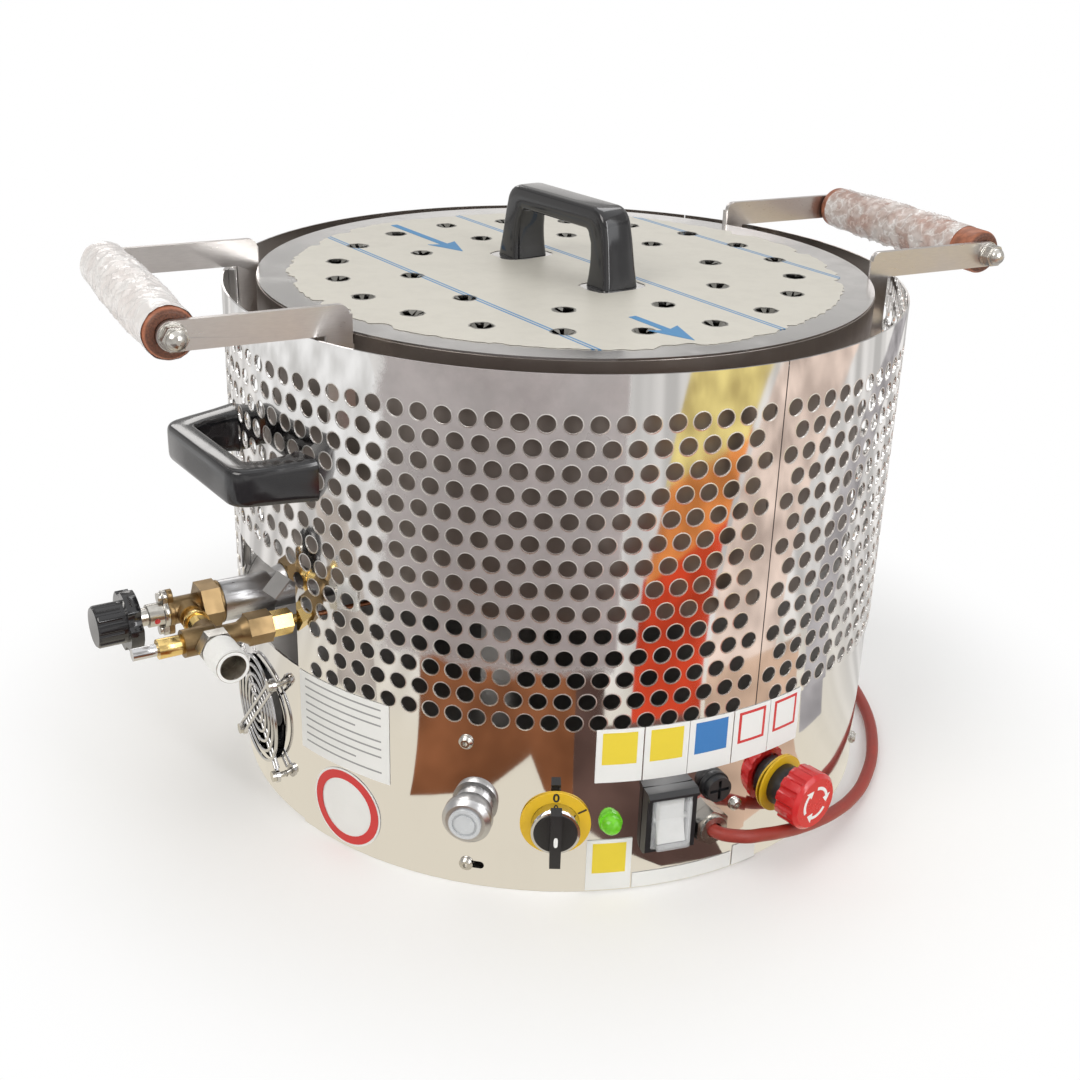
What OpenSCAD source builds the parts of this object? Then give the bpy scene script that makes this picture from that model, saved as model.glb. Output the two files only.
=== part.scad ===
// Gas-fired chestnut roaster: a stirred pot in a perforated shield, on a base with the controls.
// Millimetres, Z up, front at -Y, standing on the floor at z = 0.
// Azimuths count from the front, positive to the viewer's right.

/* [Shield] */
// Outer radius of the perforated shield
shield_r = 235; // [220:1:260]
// Thickness of the shield's sheet
sheet_t = 1.2; // [0.8:0.1:2]
// Height of the shield's rim
shield_h = 349; // [340:1:380]
// Diameter of the holes in the shield
hole_d = 10.8; // [6:0.1:11.4]
// Holes in one turn of the shield
holes_turn = 98; // [90:2:100]
// Rows of holes
hole_rows = 14; // [4:1:14]
// Distance between the rows
row_pitch = 14.9; // [13:0.1:15.2]
// From the rim down to the first row
rim_margin = 29.4; // [20:0.1:40]
// Azimuth of the seam beside the controls
seam_az = 33.8; // [33.4:0.1:34.4]
// Azimuth of the apron's left end, beside the burner window
apron_az = -45; // [-46:0.5:-43]
// Azimuth of the burner window's left end
window_az = -67.5; // [-72:0.5:-66]
// Height of the burner window's top edge
window_top = 182; // [176:1:190]

/* [Base] */
// Height of the band round the base
base_h = 119.5; // [116:0.5:122]
// How far the shield laps over the band
band_lap = 2; // [1:0.5:4]
// Thickness of the band
band_t = 1.5; // [1:0.1:2.5]
// Thickness of the floor plate
floor_t = 2; // [1.5:0.1:4]
// Height of the plate between the base and the fire
divider_z = 112; // [108:0.5:113]
// Thickness of that plate
divider_t = 1.5; // [1:0.1:3]
// How far the frame's posts stand inside the band
post_in = 60; // [50:1:80]
// Radius of the frame's posts
post_r = 6; // [4:0.5:8]
// Outer radius of the brackets under the pot
support_r = 172; // [160:1:190]
// Length of a bracket's shelf
support_l = 22; // [15:1:30]
// Width of a bracket
support_w = 20; // [12:1:30]
// Side of the gearbox
gearbox_w = 86; // [70:1:100]
// Height of the gearbox
gearbox_h = 26; // [20:1:30]
// Radius of the motor
motor_r = 38; // [30:1:45]
// Width of the control box
box_w = 110; // [80:1:140]
// Depth of the control box
box_d = 60; // [40:1:70]
// Height of the control box
box_h = 70; // [40:1:90]

/* [Pot] */
// Outer radius of the pot
pot_r = 212; // [195:1:214]
// Wall of the pot
pot_t = 1.5; // [1:0.1:3]
// Height of the pot's bottom
pot_z = 178; // [174:1:190]
// Outer radius of the tube in the middle of the pot
hub_tube_r = 16; // [15:0.5:20]
// Height of that tube
hub_tube_h = 58; // [50:1:80]
// Radius of the drive shaft
shaft_r = 11; // [9:0.5:12]
// Side of the square on the shaft's top
square_w = 14; // [10:0.5:14.5]
// Reach of the stirrer's arms
stirrer_r = 200; // [150:1:204]

/* [Lid] */
// Thickness of the lid
lid_t = 1.5; // [1:0.1:3]
// Diameter of the lid's holes
lid_hole_d = 14.5; // [8:0.5:18]
// Radius of the inner ring of holes
lid_ring_1 = 108.6; // [95:0.1:120]
// Radius of the outer ring of holes
lid_ring_2 = 159; // [145:0.5:175]
// Azimuth of the lid's handle
lid_handle_az = 37; // [0:1:90]

/* [Handles] */
// Length of a bridge handle over its feet
bridge_l = 124; // [110:1:140]
// Height of a bridge handle
bridge_h = 52; // [46:1:75]
// Width of a bridge handle
bridge_w = 24; // [18:1:30]
// Azimuth of the left side handle
side_handle_az = -54; // [-58:0.5:-50]
// Height of the side handles
side_handle_z = 260; // [250:1:280]
// Azimuth of the left pot handle
pot_handle_az = -62; // [-66:0.5:-56]
// Half the distance between the arms of a pot handle
arm_y = 92; // [80:1:100]
// Height of an arm's section
arm_h = 18; // [12:0.5:22]
// Thickness of an arm
arm_t = 4; // [3:0.5:6]
// Radius of an arm's upper inner corner
arm_corner = 6; // [2:0.5:8]
// How far the grips stand out from the shield
grip_out = 62; // [50:1:80]
// Diameter of the wooden grips
grip_d = 31; // [26:0.5:36]
// Diameter of the rods in the grips
rod_d = 10; // [8:0.5:12]

/* [Gas] */
// Azimuth of the burner's inlet
gas_az = -58; // [-60:0.5:-56]
// Height of the burner's inlet
gas_z = 153.5; // [150:0.5:156]
// Distance of the safety valve beside the gas tap
valve_off = 47.5; // [44:0.5:49]
// Radius of the burner ring
burner_r = 95; // [80:1:110]
// Diameter of the burner's tube
burner_d = 24; // [20:0.5:26]
// Outer diameter of the mixing tube
venturi_d = 24; // [20:0.5:25]
// Length of the air shutter
shutter_l = 34; // [28:0.5:38]
// Travel of the air shutter
shutter_travel = 8; // [4:0.5:10]
// Diameter of the gas inlet's thread
inlet_d = 20.96; // [16:0.01:22]
// Length of the gas inlet's thread
inlet_l = 25; // [18:0.5:30]
// Diameter of the safety valve's push pin
valve_pin_d = 8; // [6:0.5:9]

/* [Controls] */
// Azimuth and height of the push igniter
piezo_at = [-11.6, 58]; // [-90:0.1:120]
// Azimuth and height of the motor's selector
selector_at = [1.45, 53.7]; // [-90:0.1:120]
// Azimuth and height of the pilot lamp
lamp_at = [10, 53.7]; // [-90:0.1:120]
// Azimuth and height of the rocker switch
rocker_at = [19.1, 54]; // [-90:0.1:120]
// Width of the rocker's frame
rocker_w = 34; // [30:0.5:36]
// How far the rocker's frame stands out
rocker_out = 8; // [7:0.5:14]
// Height of the fuse holder
fuse_z = 71; // [65:0.5:80]
// Radius of the fuse holder's collar
fuse_r = 10; // [8:0.5:11]
// Space between the rocker and the fuse holder
fuse_gap = 4.6; // [2:0.1:6]
// Height of the cord's gland
gland_z = 43; // [38:0.5:46]
// Width of the gland's hexagon over its flats
gland_af = 22; // [19:0.5:24]
// Space between the rocker and the gland
gland_gap = 0.7; // [0.4:0.1:3]
// Azimuth and height of the stop button
estop_at = [41.6, 51]; // [-90:0.1:120]
// Azimuth and height of the fan
fan_at = [-60, 61]; // [-90:0.1:120]
// Size of the fan's square frame
fan_w = 80; // [60:1:80]
// Travel of the igniter's button
piezo_travel = 5; // [3:0.5:6]
// Travel of the stop button
estop_travel = 4; // [2:0.5:5]
// Diameter of the stop button's head
estop_d = 40; // [35:1:45]
// Diameter of the selector's knob
selector_d = 27.7; // [24:0.1:29]

/* [Cord] */
// Diameter of the power cord
cord_d = 8.8; // [6:0.2:9]
// Radius of the coil's outer loop
coil_r = 62; // [60:1:70]

/* [Fits] */
// Radial play of a running fit
run_gap = 0.06; // [0.03:0.01:0.1]
// Gap between parts that only stand together
sheet_gap = 0.25; // [0.2:0.05:0.5]
// Gap between moving parts that never touch
free_gap = 0.6; // [0.4:0.1:1]

/* [Hidden] */
$fn = 48;
hole_a = 360 / holes_turn;
row_top = shield_h - rim_margin;
sheet_low = base_h - band_lap;
sheet_in = shield_r - sheet_t;
flat_in = sheet_in * cos(hole_a / 2);
band_r = flat_in - sheet_gap;
band_in = band_r - band_t;
plate_r = band_in - sheet_gap;
foot_z = 0.5;
face_r = shield_r + 0.05;
band_face = band_r + 0.05;
front_first = -24;
front_last = 9;
right_az = seam_az + 0.36;
right_n = 33;
rear_az = right_az + right_n * hole_a + 0.4;
rear_end = 360 + front_first * hole_a - 0.2;
rear_n = floor((rear_end - rear_az) / hole_a);
pot_top = shield_h + 0.8;
pot_in = pot_r - pot_t;
lid_r = pot_r - 0.4;
lid_z = pot_top + lid_t;
divider_top = divider_z + divider_t;
grip_x = shield_r + grip_out;
arm_z = shield_h + 1.2 + arm_h / 2;
side_sink = shield_r - sqrt(pow(shield_r, 2) - pow(bridge_l / 2, 2));
arm_end = grip_x + 12;
grip_l = 2 * arm_y - arm_t - 2 * free_gap;
shut_0 = shield_r - 7;
shut_1 = shut_0 + shutter_l;
jet_0 = shut_1 + free_gap;
jet_1 = jet_0 + 14.4;
tap_1 = jet_1 + 17.5;
flange_1 = tap_1 + 3.5;
collar_0 = flange_1 + 3.5;
collar_1 = collar_0 + 10;
knob_0 = collar_1 + 7.5;
stem_d = 12;
valve_0 = shield_r - 3.4;
valve_1 = valve_0 + 13.8;
valve_2 = valve_1 + 16.1;
valve_3 = valve_2 + 5.5;
valve_4 = valve_3 + 15.7;
valve_5 = valve_4 + 20.7;
valve_6 = valve_5 + 16;
branch_x = tap_1 - 8.5;
branch_0 = 14;
branch_1 = valve_off - 12;
inlet_0 = valve_off + 19;
estop_front = 12;
estop_seat = estop_front + estop_travel + 2;
fan_screw = fan_w * 71.5 / 80 / 2;
fan_face = sqrt(pow(band_in - 0.6, 2) - pow(fan_w / 2, 2));
fan_depth = 25;
guard_r = band_r + 3.6;
guard_wire = 2.4;
gland_floor = 3.5;
fuse_at = [rocker_at[0] + turn(rocker_w / 2 + fuse_r + fuse_gap), fuse_z];
gland_at = [rocker_at[0] + turn((rocker_w + gland_af) / 2 + gland_gap), gland_z];
post_ring = band_in - post_in;
box_y = gearbox_w / 2 + 52;
ear_y = 11.5;
// Screws of the case: azimuth and height
apron_screws = [[-12.6, 107.3], [-12.4, 16.3], [31.5, 50.2]];
band_screws = [[75, 20], [150, 60], [210, 60], [262, 20]];
band_az = seam_az - 3.3;
band_end = 360 + apron_az + 3;

// The cord's route: azimuth, distance outside the shield, height.
cord_way = [[29, 23, 42], [33.5, 23, 37], [38, 19, 29.5], [42, 17, 24], [47, 16, 19],
    [53, 15, 13], [60, 15, 8], [68, 15, 5], [80, 15, 4.5], [95, 15, 4.5], [110, 15, 4.5], [125, 15, 4.5]];
// The coil behind the object: centre beyond the shield, heading and turns.
coil_c = [170, shield_r + 30];
coil_head = 140;
coil_turns = 4;
coil_step = cord_d + 0.6;
coil_rise = cord_d + 0.5;
coil_tail = 58;
coil_z = cord_d / 2 + 0.1;

// Helpers

function pol(az, r) = r * [sin(az), -cos(az)];
function pol3(az, r, z) = [r * sin(az), -r * cos(az), z];
function rev(v) = [for (i = [len(v) - 1 : -1 : 0]) v[i]];
function unit(v) = v / norm(v);
// The azimuth that a distance along the shield spans
function turn(d) = d / face_r * 180 / PI;

module polar(az, r, z) {
    rotate([0, 0, az - 90]) translate([r, 0, z]) children();
}

// Local x to the viewer's right, y up, z outward
module outward(az, r, z) {
    polar(az, r, z) rotate([90, 0, 90]) children();
}

// The same frame on the axis of the gas tap, with z counted from the object's axis
module on_gas(off) {
    polar(gas_az, 0, gas_z) translate([0, off, 0]) rotate([90, 0, 90]) children();
}

module span(z0, z1, r) {
    translate([0, 0, z0]) cylinder(r = r, h = z1 - z0);
}

module hex(z0, z1, af) {
    translate([0, 0, z0]) cylinder(d = af / cos(30), h = z1 - z0, $fn = 6);
}

module pie(a0, a1, z0, z1) {
    translate([0, 0, z0]) linear_extrude(z1 - z0)
        polygon(concat([[0, 0]], [for (i = [0 : 4]) pol(a0 + (a1 - a0) * i / 4, shield_r * 1.5)]));
}

// Shield and base

module sheet_wall(az, z0, z1) {
    translate([0, 0, z0]) linear_extrude(z1 - z0)
        polygon(concat([for (a = az) pol(a, shield_r)], [for (a = rev(az)) pol(a, sheet_in)]));
}

function beside_window(az, z, row) =
    az > window_az - 2 && az < apron_az + (row == 12 ? 4.4 : row == 9 ? 0 : 2.4)
        && z < window_top + hole_d / 2 + 1;

module sheet_holes(az0, n) {
    for (i = [0 : hole_rows - 1])
        for (k = [0 : n - 1 - i % 2]) {
            az = az0 + (k + 0.5 + (i % 2) / 2) * hole_a;
            z = row_top - i * row_pitch;
            if (!beside_window(az, z, i))
                outward(az, shield_r - sheet_t / 2, z) cylinder(d = hole_d, h = 6, center = true);
        }
}

module panel_bore(at, r) {
    outward(at[0], shield_r, at[1]) cylinder(r = r, h = 12, center = true);
}

module front_sheet() {
    az = concat([for (k = [front_first : front_last]) k * hole_a], [seam_az]);
    color([0.82, 0.82, 0.80]) {
        difference() {
            sheet_wall(az, foot_z, shield_h);
            pie(az[0] - 2, apron_az, 0, sheet_low);
            pie(window_az, apron_az, sheet_low - 1, window_top);
            sheet_holes(az[0], front_last - front_first);
            panel_bore(piezo_at, 11.8);
            panel_bore(selector_at, 11.2);
            panel_bore(lamp_at, 6);
            panel_bore(fuse_at, 7.2);
            panel_bore(gland_at, 8.2);
            outward(rocker_at[0], shield_r, rocker_at[1]) cube([27, 37, 12], center = true);
            for (at = apron_screws) panel_bore(at, 2.7);
            outward(apron_screws[1][0], shield_r, apron_screws[1][1]) {
                translate([4.5, 0, 0]) cube([9, 5.4, 12], center = true);
                translate([9, 0, 0]) cylinder(r = 2.7, h = 12, center = true);
            }
        }
        // Flap bent out of the window's corner
        outward(apron_az - 3.2, flat_in + 0.3, window_top) rotate([-48, 0, 0])
            translate([-8, -16, 0]) cube([16, 16.4, sheet_t]);
    }
}

module right_sheet() {
    az = concat([seam_az + 0.2], [for (k = [0 : right_n]) right_az + k * hole_a]);
    color([0.82, 0.82, 0.80]) difference() {
        sheet_wall(az, sheet_low, shield_h);
        sheet_holes(right_az, right_n);
        side_handle_bolts(side_handle_az + 180);
    }
}

module rear_sheet() {
    az = concat([rear_az - 0.2], [for (k = [0 : rear_n]) rear_az + k * hole_a], [rear_end]);
    color([0.82, 0.82, 0.80]) difference() {
        sheet_wall(az, sheet_low, shield_h);
        sheet_holes(rear_az, rear_n);
    }
}

module side_handle_bolts(az) {
    for (s = [-1, 1]) outward(az, shield_r, side_handle_z)
        translate([s * (bridge_l / 2 - 9), 0, 0]) cylinder(r = 2.2, h = 24, center = true);
}

module seam_straps() {
    color([0.7, 0.7, 0.7]) for (az = [seam_az + 0.1, rear_az - 0.3, rear_end + 0.1])
        rotate([0, 0, az - 0.65 - 90]) rotate_extrude(angle = 1.3)
            translate([plate_r - 2, base_h + 0.3]) square([flat_in - plate_r + 1.8, shield_h - base_h - 4]);
}

module base_band() {
    color([0.80, 0.79, 0.76]) difference() {
        rotate([0, 0, band_az - 90]) rotate_extrude(angle = band_end - band_az, $fn = 96)
            translate([band_in, foot_z]) square([band_t, base_h - foot_z]);
        outward(estop_at[0], band_r, estop_at[1]) cylinder(r = 11.2, h = 12, center = true);
        outward(fan_at[0], band_r, fan_at[1]) {
            cylinder(d = fan_w - 4, h = 30, center = true);
            for (x = [-1, 1], y = [-1, 1]) translate([x * fan_screw, y * fan_screw, 0])
                cylinder(r = 2.4, h = 40, center = true);
        }
        for (at = concat(band_screws, [apron_screws[2]]))
            outward(at[0], band_r, at[1]) cylinder(r = 2.7, h = 12, center = true);
    }
}

module base_plate() {
    color([0.72, 0.72, 0.72]) difference() {
        cylinder(r = plate_r, h = floor_t, $fn = 96);
        for (i = [0 : 11]) rotate([0, 0, i * 30]) translate([70, -3, -1]) cube([70, 6, floor_t + 2]);
    }
}

module divider_plate() {
    color([0.7, 0.7, 0.7]) difference() {
        translate([0, 0, divider_z]) cylinder(r = plate_r, h = divider_t, $fn = 96);
        translate([0, 0, divider_z - 1]) cylinder(r = shaft_r + 3, h = divider_t + 2);
    }
}

module frame_posts() {
    color([0.6, 0.6, 0.6]) for (i = [0 : 3]) polar(45 + i * 90, post_ring, floor_t)
        cylinder(r = post_r, h = divider_z - floor_t);
}

module pot_support() {
    shelf_t = 4;
    color([0.45, 0.45, 0.45]) for (i = [0 : 3]) polar(gas_az + 45 + i * 90, support_r, 0) {
        translate([-support_l, -support_w / 2, pot_z - shelf_t]) cube([support_l, support_w, shelf_t]);
        translate([-support_l / 2 - 3, -support_w / 2, divider_top])
            cube([6, support_w, pot_z - shelf_t / 2 - divider_top]);
    }
}

// Burner and gas train

module burner_ring() {
    w = burner_d / 2;
    color([0.35, 0.34, 0.33]) difference() {
        union() {
            translate([0, 0, gas_z]) rotate_extrude($fn = 96)
                polygon([for (p = [[-1, -0.6], [-0.6, -1], [0.6, -1], [1, -0.6], [1, 0.6], [0.6, 1],
                    [-0.6, 1], [-1, 0.6]]) [burner_r + p[0] * w, p[1] * w]]);
            on_gas(0) span(burner_r, burner_r + 23, venturi_d / 2 + 2);
            for (i = [0 : 2]) polar(i * 120, burner_r, divider_top)
                cylinder(r = 4, h = gas_z - divider_top);
        }
        for (i = [0 : 23]) polar(i * 15 + 7.5, burner_r, gas_z + w - 5)
            cylinder(r = 1.6, h = 10, $fn = 16);
    }
}

module venturi_tube() {
    foot = gas_z - divider_top;
    color([0.62, 0.62, 0.63]) on_gas(0) difference() {
        union() {
            span(burner_r + 23, jet_0, venturi_d / 2);
            translate([-12, -foot, shield_r - 40]) cube([24, foot, 3]);
        }
        span(burner_r + 22, jet_0 + 1, venturi_d / 2 - 2);
        for (a = [0 : 90 : 270]) rotate([0, 0, a + 45]) translate([0, -3.5, shut_0 + 11])
            cube([venturi_d, 7, 15]);
    }
}

module air_shutter() {
    color([0.75, 0.75, 0.76]) on_gas(0) difference() {
        union() {
            span(shut_0, shut_1, venturi_d / 2 + 2);
            rotate([0, 0, -72]) translate([0, 0, shut_0 + 17]) rotate([0, 90, 0]) {
                span(0, venturi_d / 2 + 3, 4.6);
                span(0, venturi_d / 2 + 5.6, 3.6);
            }
        }
        span(shut_0 - 1, shut_1 + 1, venturi_d / 2 + run_gap);
    }
}

module jet_nut() {
    color([0.45, 0.38, 0.28]) on_gas(0) {
        span(jet_0, jet_0 + 1.6, venturi_d / 2 + 2.5);
        hex(jet_0 + 1.6, jet_1, 28);
    }
}

module ear_plate(z0, z1, bore) {
    difference() {
        union() {
            span(z0, z1, 9.5);
            translate([-4.5, -ear_y, z0]) cube([9, 2 * ear_y, z1 - z0]);
            for (s = [-1, 1]) translate([0, s * ear_y, 0]) span(z0, z1, 4.5);
        }
        for (s = [-1, 1]) translate([0, s * ear_y, 0]) span(z0 - 1, z1 + 1, 1.9);
        if (bore > 0) span(z0 - 1, z1 + 1, bore);
    }
}

module gas_tap_body() {
    color([0.5, 0.4, 0.25]) on_gas(0) {
        span(jet_1, tap_1, 9);
        ear_plate(tap_1, flange_1, 0);
        translate([0, 0, branch_x]) rotate([0, 90, 0]) span(0, branch_0, 8);
    }
}

module tap_collar() {
    color([0.7, 0.69, 0.66]) on_gas(0) {
        ear_plate(flange_1, collar_0, stem_d / 2 + run_gap);
        difference() {
            span(collar_0, collar_1, stem_d / 2 + 1.7);
            span(collar_0 - 1, collar_1 + 1, stem_d / 2 + run_gap);
        }
    }
}

module tap_stem() {
    color([0.75, 0.74, 0.7]) on_gas(0) span(flange_1 + 0.5, knob_0, stem_d / 2);
}

module gas_knob() {
    color([0.08, 0.08, 0.08]) on_gas(0) difference() {
        union() {
            span(knob_0, knob_0 + 8.5, 20.5);
            span(knob_0 + 8.5, knob_0 + 25.5, 14);
            translate([0, 0, knob_0 + 25.5]) cylinder(r1 = 14, r2 = 12.8, h = 1.5);
        }
        for (i = [0 : 3]) rotate([0, 0, i * 90 + 20]) translate([25, 0, 0])
            span(knob_0 - 1, knob_0 + 9, 8);
        for (i = [0 : 11]) rotate([0, 0, i * 30]) translate([14.8, 0, 0])
            span(knob_0 + 11, knob_0 + 28, 1.9);
    }
}

module valve_body() {
    color([0.48, 0.38, 0.24]) on_gas(valve_off) {
        hex(valve_1, valve_2, 19);
        translate([0, 0, valve_2]) cylinder(r1 = 9.5, r2 = 6.5, h = valve_3 - valve_2);
        span(valve_3, valve_4, 6.5);
        span(valve_4, valve_5, 9);
        translate([0, 0, branch_x]) rotate([0, 90, 0]) span(branch_1 - valve_off, inlet_0 - valve_off - 9, 8);
    }
}

module valve_fittings() {
    color([0.78, 0.6, 0.28]) {
        on_gas(valve_off) {
            difference() {
                span(valve_5, valve_6, 6.5);
                span(valve_5 + 1, valve_6 + 1, valve_pin_d / 2 + run_gap);
            }
            hex(valve_0, valve_1, 15);
            span(valve_0 - 7, valve_0, 3.4);
            hex(valve_0 - 13.2, valve_0 - 7, 9);
        }
        on_gas(0) translate([0, 0, branch_x]) rotate([0, 90, 0]) {
            span(branch_0, branch_1, 7);
            span(branch_0 + 7, branch_0 + 11, 8.5);
        }
    }
}

module valve_pin() {
    color([0.85, 0.85, 0.85]) on_gas(valve_off) span(valve_5 + 7, valve_6 + 16, valve_pin_d / 2);
}

module thermo_lead() {
    color([0.75, 0.42, 0.28]) on_gas(valve_off) {
        span(burner_r + 27, valve_0 - 13.2, 1.75);
        span(burner_r + 9, burner_r + 27, 3);
    }
}

module gas_nipple() {
    color([0.85, 0.85, 0.82]) on_gas(0) translate([0, 0, branch_x]) rotate([0, 90, 0]) difference() {
        union() {
            hex(inlet_0 - 9, inlet_0, 22);
            span(inlet_0, inlet_0 + inlet_l, inlet_d / 2);
        }
        span(inlet_0 - 6, inlet_0 + inlet_l + 1, inlet_d / 2 - 2.4);
    }
}

module spark_electrode() {
    color([0.9, 0.88, 0.84]) polar(-86, burner_r + 24, 0) {
        span(divider_top, gas_z + 2, 4);
        span(gas_z + 2, gas_z + 12, 1.2);
    }
}

// Controls

module piezo_collar() {
    color([0.75, 0.76, 0.78]) outward(piezo_at[0], face_r, piezo_at[1]) difference() {
        union() {
            span(0, 8, 13);
            span(7, 13, 16);
            translate([0, 0, 13]) cylinder(r1 = 16, r2 = 13, h = 3);
            span(-34, 0.5, 11.5);
        }
        span(2, 18, 10.5);
    }
}

module piezo_button() {
    color([0.72, 0.73, 0.75]) outward(piezo_at[0], face_r, piezo_at[1]) difference() {
        span(3 + piezo_travel, 18, 10.5 - run_gap);
        translate([0, 0, 17]) difference() {
            cylinder(r = 8.2, h = 2);
            translate([0, 0, -1]) cylinder(r = 6.6, h = 4);
        }
    }
}

module selector_plate() {
    color([0.95, 0.75, 0.1]) outward(selector_at[0], face_r, selector_at[1]) difference() {
        span(0, 1.5, 22.5);
        span(-1, 3, 11.2);
    }
}

module selector_bezel() {
    color([0.8, 0.8, 0.8]) outward(selector_at[0], face_r, selector_at[1]) difference() {
        union() {
            span(1.6, 12, selector_d / 2 + 1.7);
            span(-30, 1.6, 11);
            translate([-15, -21, -56]) cube([30, 42, 26]);
        }
        span(5, 13, selector_d / 2 + run_gap);
    }
}

module selector_knob() {
    color([0.07, 0.07, 0.07]) outward(selector_at[0], face_r, selector_at[1]) {
        span(5.4, 12.6, selector_d / 2);
        translate([-3.5, -19.5, 12.6]) cube([7, 39, 9.4]);
    }
}

module pilot_lamp() {
    color([0.4, 0.85, 0.1]) outward(lamp_at[0], face_r, lamp_at[1]) {
        span(0, 2, 7.5);
        span(2, 4, 6.5);
        span(-24, 0, 5.8);
        translate([0, 0, 4]) sphere(r = 6.5);
    }
}

module rocker_frame() {
    color([0.06, 0.06, 0.06]) outward(rocker_at[0], face_r, rocker_at[1]) difference() {
        union() {
            translate([rocker_w / 2, 0, 0]) rotate([0, -90, 0]) linear_extrude(rocker_w)
                polygon([[0, -23], [rocker_out - 3, -23], [rocker_out, -21], [rocker_out, 18.7], [rocker_out + 3, 18.7],
                    [rocker_out + 3, 20.5], [rocker_out, 23], [0, 23]]);
            translate([-13, -18, -30]) cube([26, 36, 31]);
        }
        translate([-12, -16.8, rocker_out - 12]) cube([24, 33.6, 20]);
        translate([0, 0, rocker_out - 5]) rotate([0, 90, 0]) cylinder(r = 2 + run_gap, h = 30, center = true);
    }
}

module rocker() {
    color([0.92, 0.92, 0.9]) outward(rocker_at[0], face_r, rocker_at[1]) translate([0, 0, rocker_out - 5])
        rotate([-10, 0, 0]) {
            translate([9.5, 0, 0]) rotate([0, -90, 0]) linear_extrude(19)
                polygon([[-3.5, -3], [1, -15.5], [4.5, -15.5], [2.2, 0], [4.5, 15.5], [1, 15.5], [-3.5, 3]]);
            rotate([0, 90, 0]) cylinder(r = 2, h = 29, center = true);
        }
}

module rocker_boot() {
    color([0.8, 0.85, 0.9, 0.4]) outward(rocker_at[0], face_r, rocker_at[1]) difference() {
        union() {
            translate([-13.5, -18.4, rocker_out + 0.05]) cube([27, 36.8, 0.95]);
            translate([-11.2, -17.5, rocker_out + 0.05]) cube([22.4, 35, 6]);
        }
        translate([-10.2, -16.6, rocker_out - 1]) cube([20.4, 33.2, 6.2]);
    }
}

module fuse_holder() {
    color([0.06, 0.06, 0.07]) outward(fuse_at[0], face_r, fuse_at[1]) difference() {
        union() {
            span(0, 4, fuse_r);
            span(3.5, 9, fuse_r - 1.3);
            span(-32, 0.5, 6.9);
        }
        translate([-7, -1.1, 6.5]) cube([14, 2.2, 4]);
        translate([-1.1, -7, 6.5]) cube([2.2, 14, 4]);
    }
}

module cable_gland() {
    color([0.78, 0.74, 0.66]) outward(gland_at[0], face_r, gland_at[1]) difference() {
        union() {
            rotate([0, 0, 30]) hex(0, 9, gland_af);
            span(8.5, 11.5, gland_af / 2 - 1.5);
            span(-14, 0.5, 8);
        }
        span(gland_floor, 13, cord_d / 2 + 0.8);
    }
}

module dome_screw(l, nut) {
    difference() {
        union() {
            span(0, 1.4, 4.6);
            translate([0, 0, 1.4]) cylinder(r1 = 4.6, r2 = 2.8, h = 1.8);
            span(-l, 0, 2.4);
            if (nut) hex(-l + 0.5, -l + 4, 8);
        }
        hex(1.2, 4, 3);
    }
}

module case_screws() {
    color([0.8, 0.78, 0.74]) {
        for (i = [0, 1]) outward(apron_screws[i][0], face_r, apron_screws[i][1]) dome_screw(7, true);
        outward(apron_screws[2][0], face_r, apron_screws[2][1]) dome_screw(9, true);
        for (at = band_screws) outward(at[0], band_face, at[1]) dome_screw(7, true);
        on_gas(0) for (s = [-1, 1]) translate([0, s * ear_y, 0]) {
            span(collar_0, collar_0 + 2.6, 3.4);
            span(tap_1 + 0.3, collar_0, 1.7);
        }
    }
}

module estop_plate() {
    color([0.95, 0.78, 0.1]) outward(estop_at[0], band_face, estop_at[1]) difference() {
        span(0, 1.5, estop_d / 2);
        span(-1, 3, 11.2);
    }
}

module estop_bezel() {
    color([0.06, 0.06, 0.06]) outward(estop_at[0], band_face, estop_at[1]) difference() {
        union() {
            span(1.6, estop_front, 14.5);
            span(-14, 1.6, 11);
            translate([-15, -20, -38]) cube([30, 40, 24]);
        }
        span(-9, estop_front + 1, 9 + run_gap);
    }
}

module estop_stem() {
    color([0.2, 0.2, 0.2]) outward(estop_at[0], band_face, estop_at[1]) {
        span(-2, estop_seat - 0.1, 9);
        span(estop_seat - 0.1, estop_seat + 8, 5);
    }
}

module estop_head() {
    color([0.8, 0.06, 0.05]) outward(estop_at[0], band_face, estop_at[1]) difference() {
        union() {
            span(estop_front + 1.6, estop_front + 17, estop_d / 2);
            translate([0, 0, estop_front + 17]) cylinder(r1 = estop_d / 2, r2 = estop_d / 2 - 2.5, h = 2.5);
        }
        span(estop_front, estop_seat, 14.5 + 0.7);
        span(estop_seat - 1, estop_seat + 9, 5 + run_gap);
        for (i = [0 : 11]) rotate([0, 0, i * 30]) translate([estop_d / 2 + 1.6, 0, 0])
            span(estop_front, estop_front + 16, 3);
    }
}

module control_box() {
    color([0.3, 0.3, 0.32]) translate([-box_w / 2, box_y, floor_t]) cube([box_w, box_d, box_h]);
}

// Fan

module fan_frame() {
    color([0.05, 0.05, 0.05]) outward(fan_at[0], fan_face, fan_at[1]) difference() {
        union() {
            difference() {
                translate([-fan_w / 2, -fan_w / 2, -fan_depth]) cube([fan_w, fan_w, fan_depth]);
                span(-fan_depth - 1, 1, fan_w / 2 - 2);
            }
            span(-fan_depth, -fan_depth + 3, 17);
            for (a = [0 : 90 : 270]) rotate([0, 0, a + 20]) translate([0, -2, -fan_depth])
                cube([fan_w / 2 - 1, 4, 3]);
            span(-fan_depth, -6, 2);
        }
        for (x = [-1, 1], y = [-1, 1]) translate([x * fan_screw, y * fan_screw, 0])
            span(-fan_depth - 1, 1, 2.2);
    }
}

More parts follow.
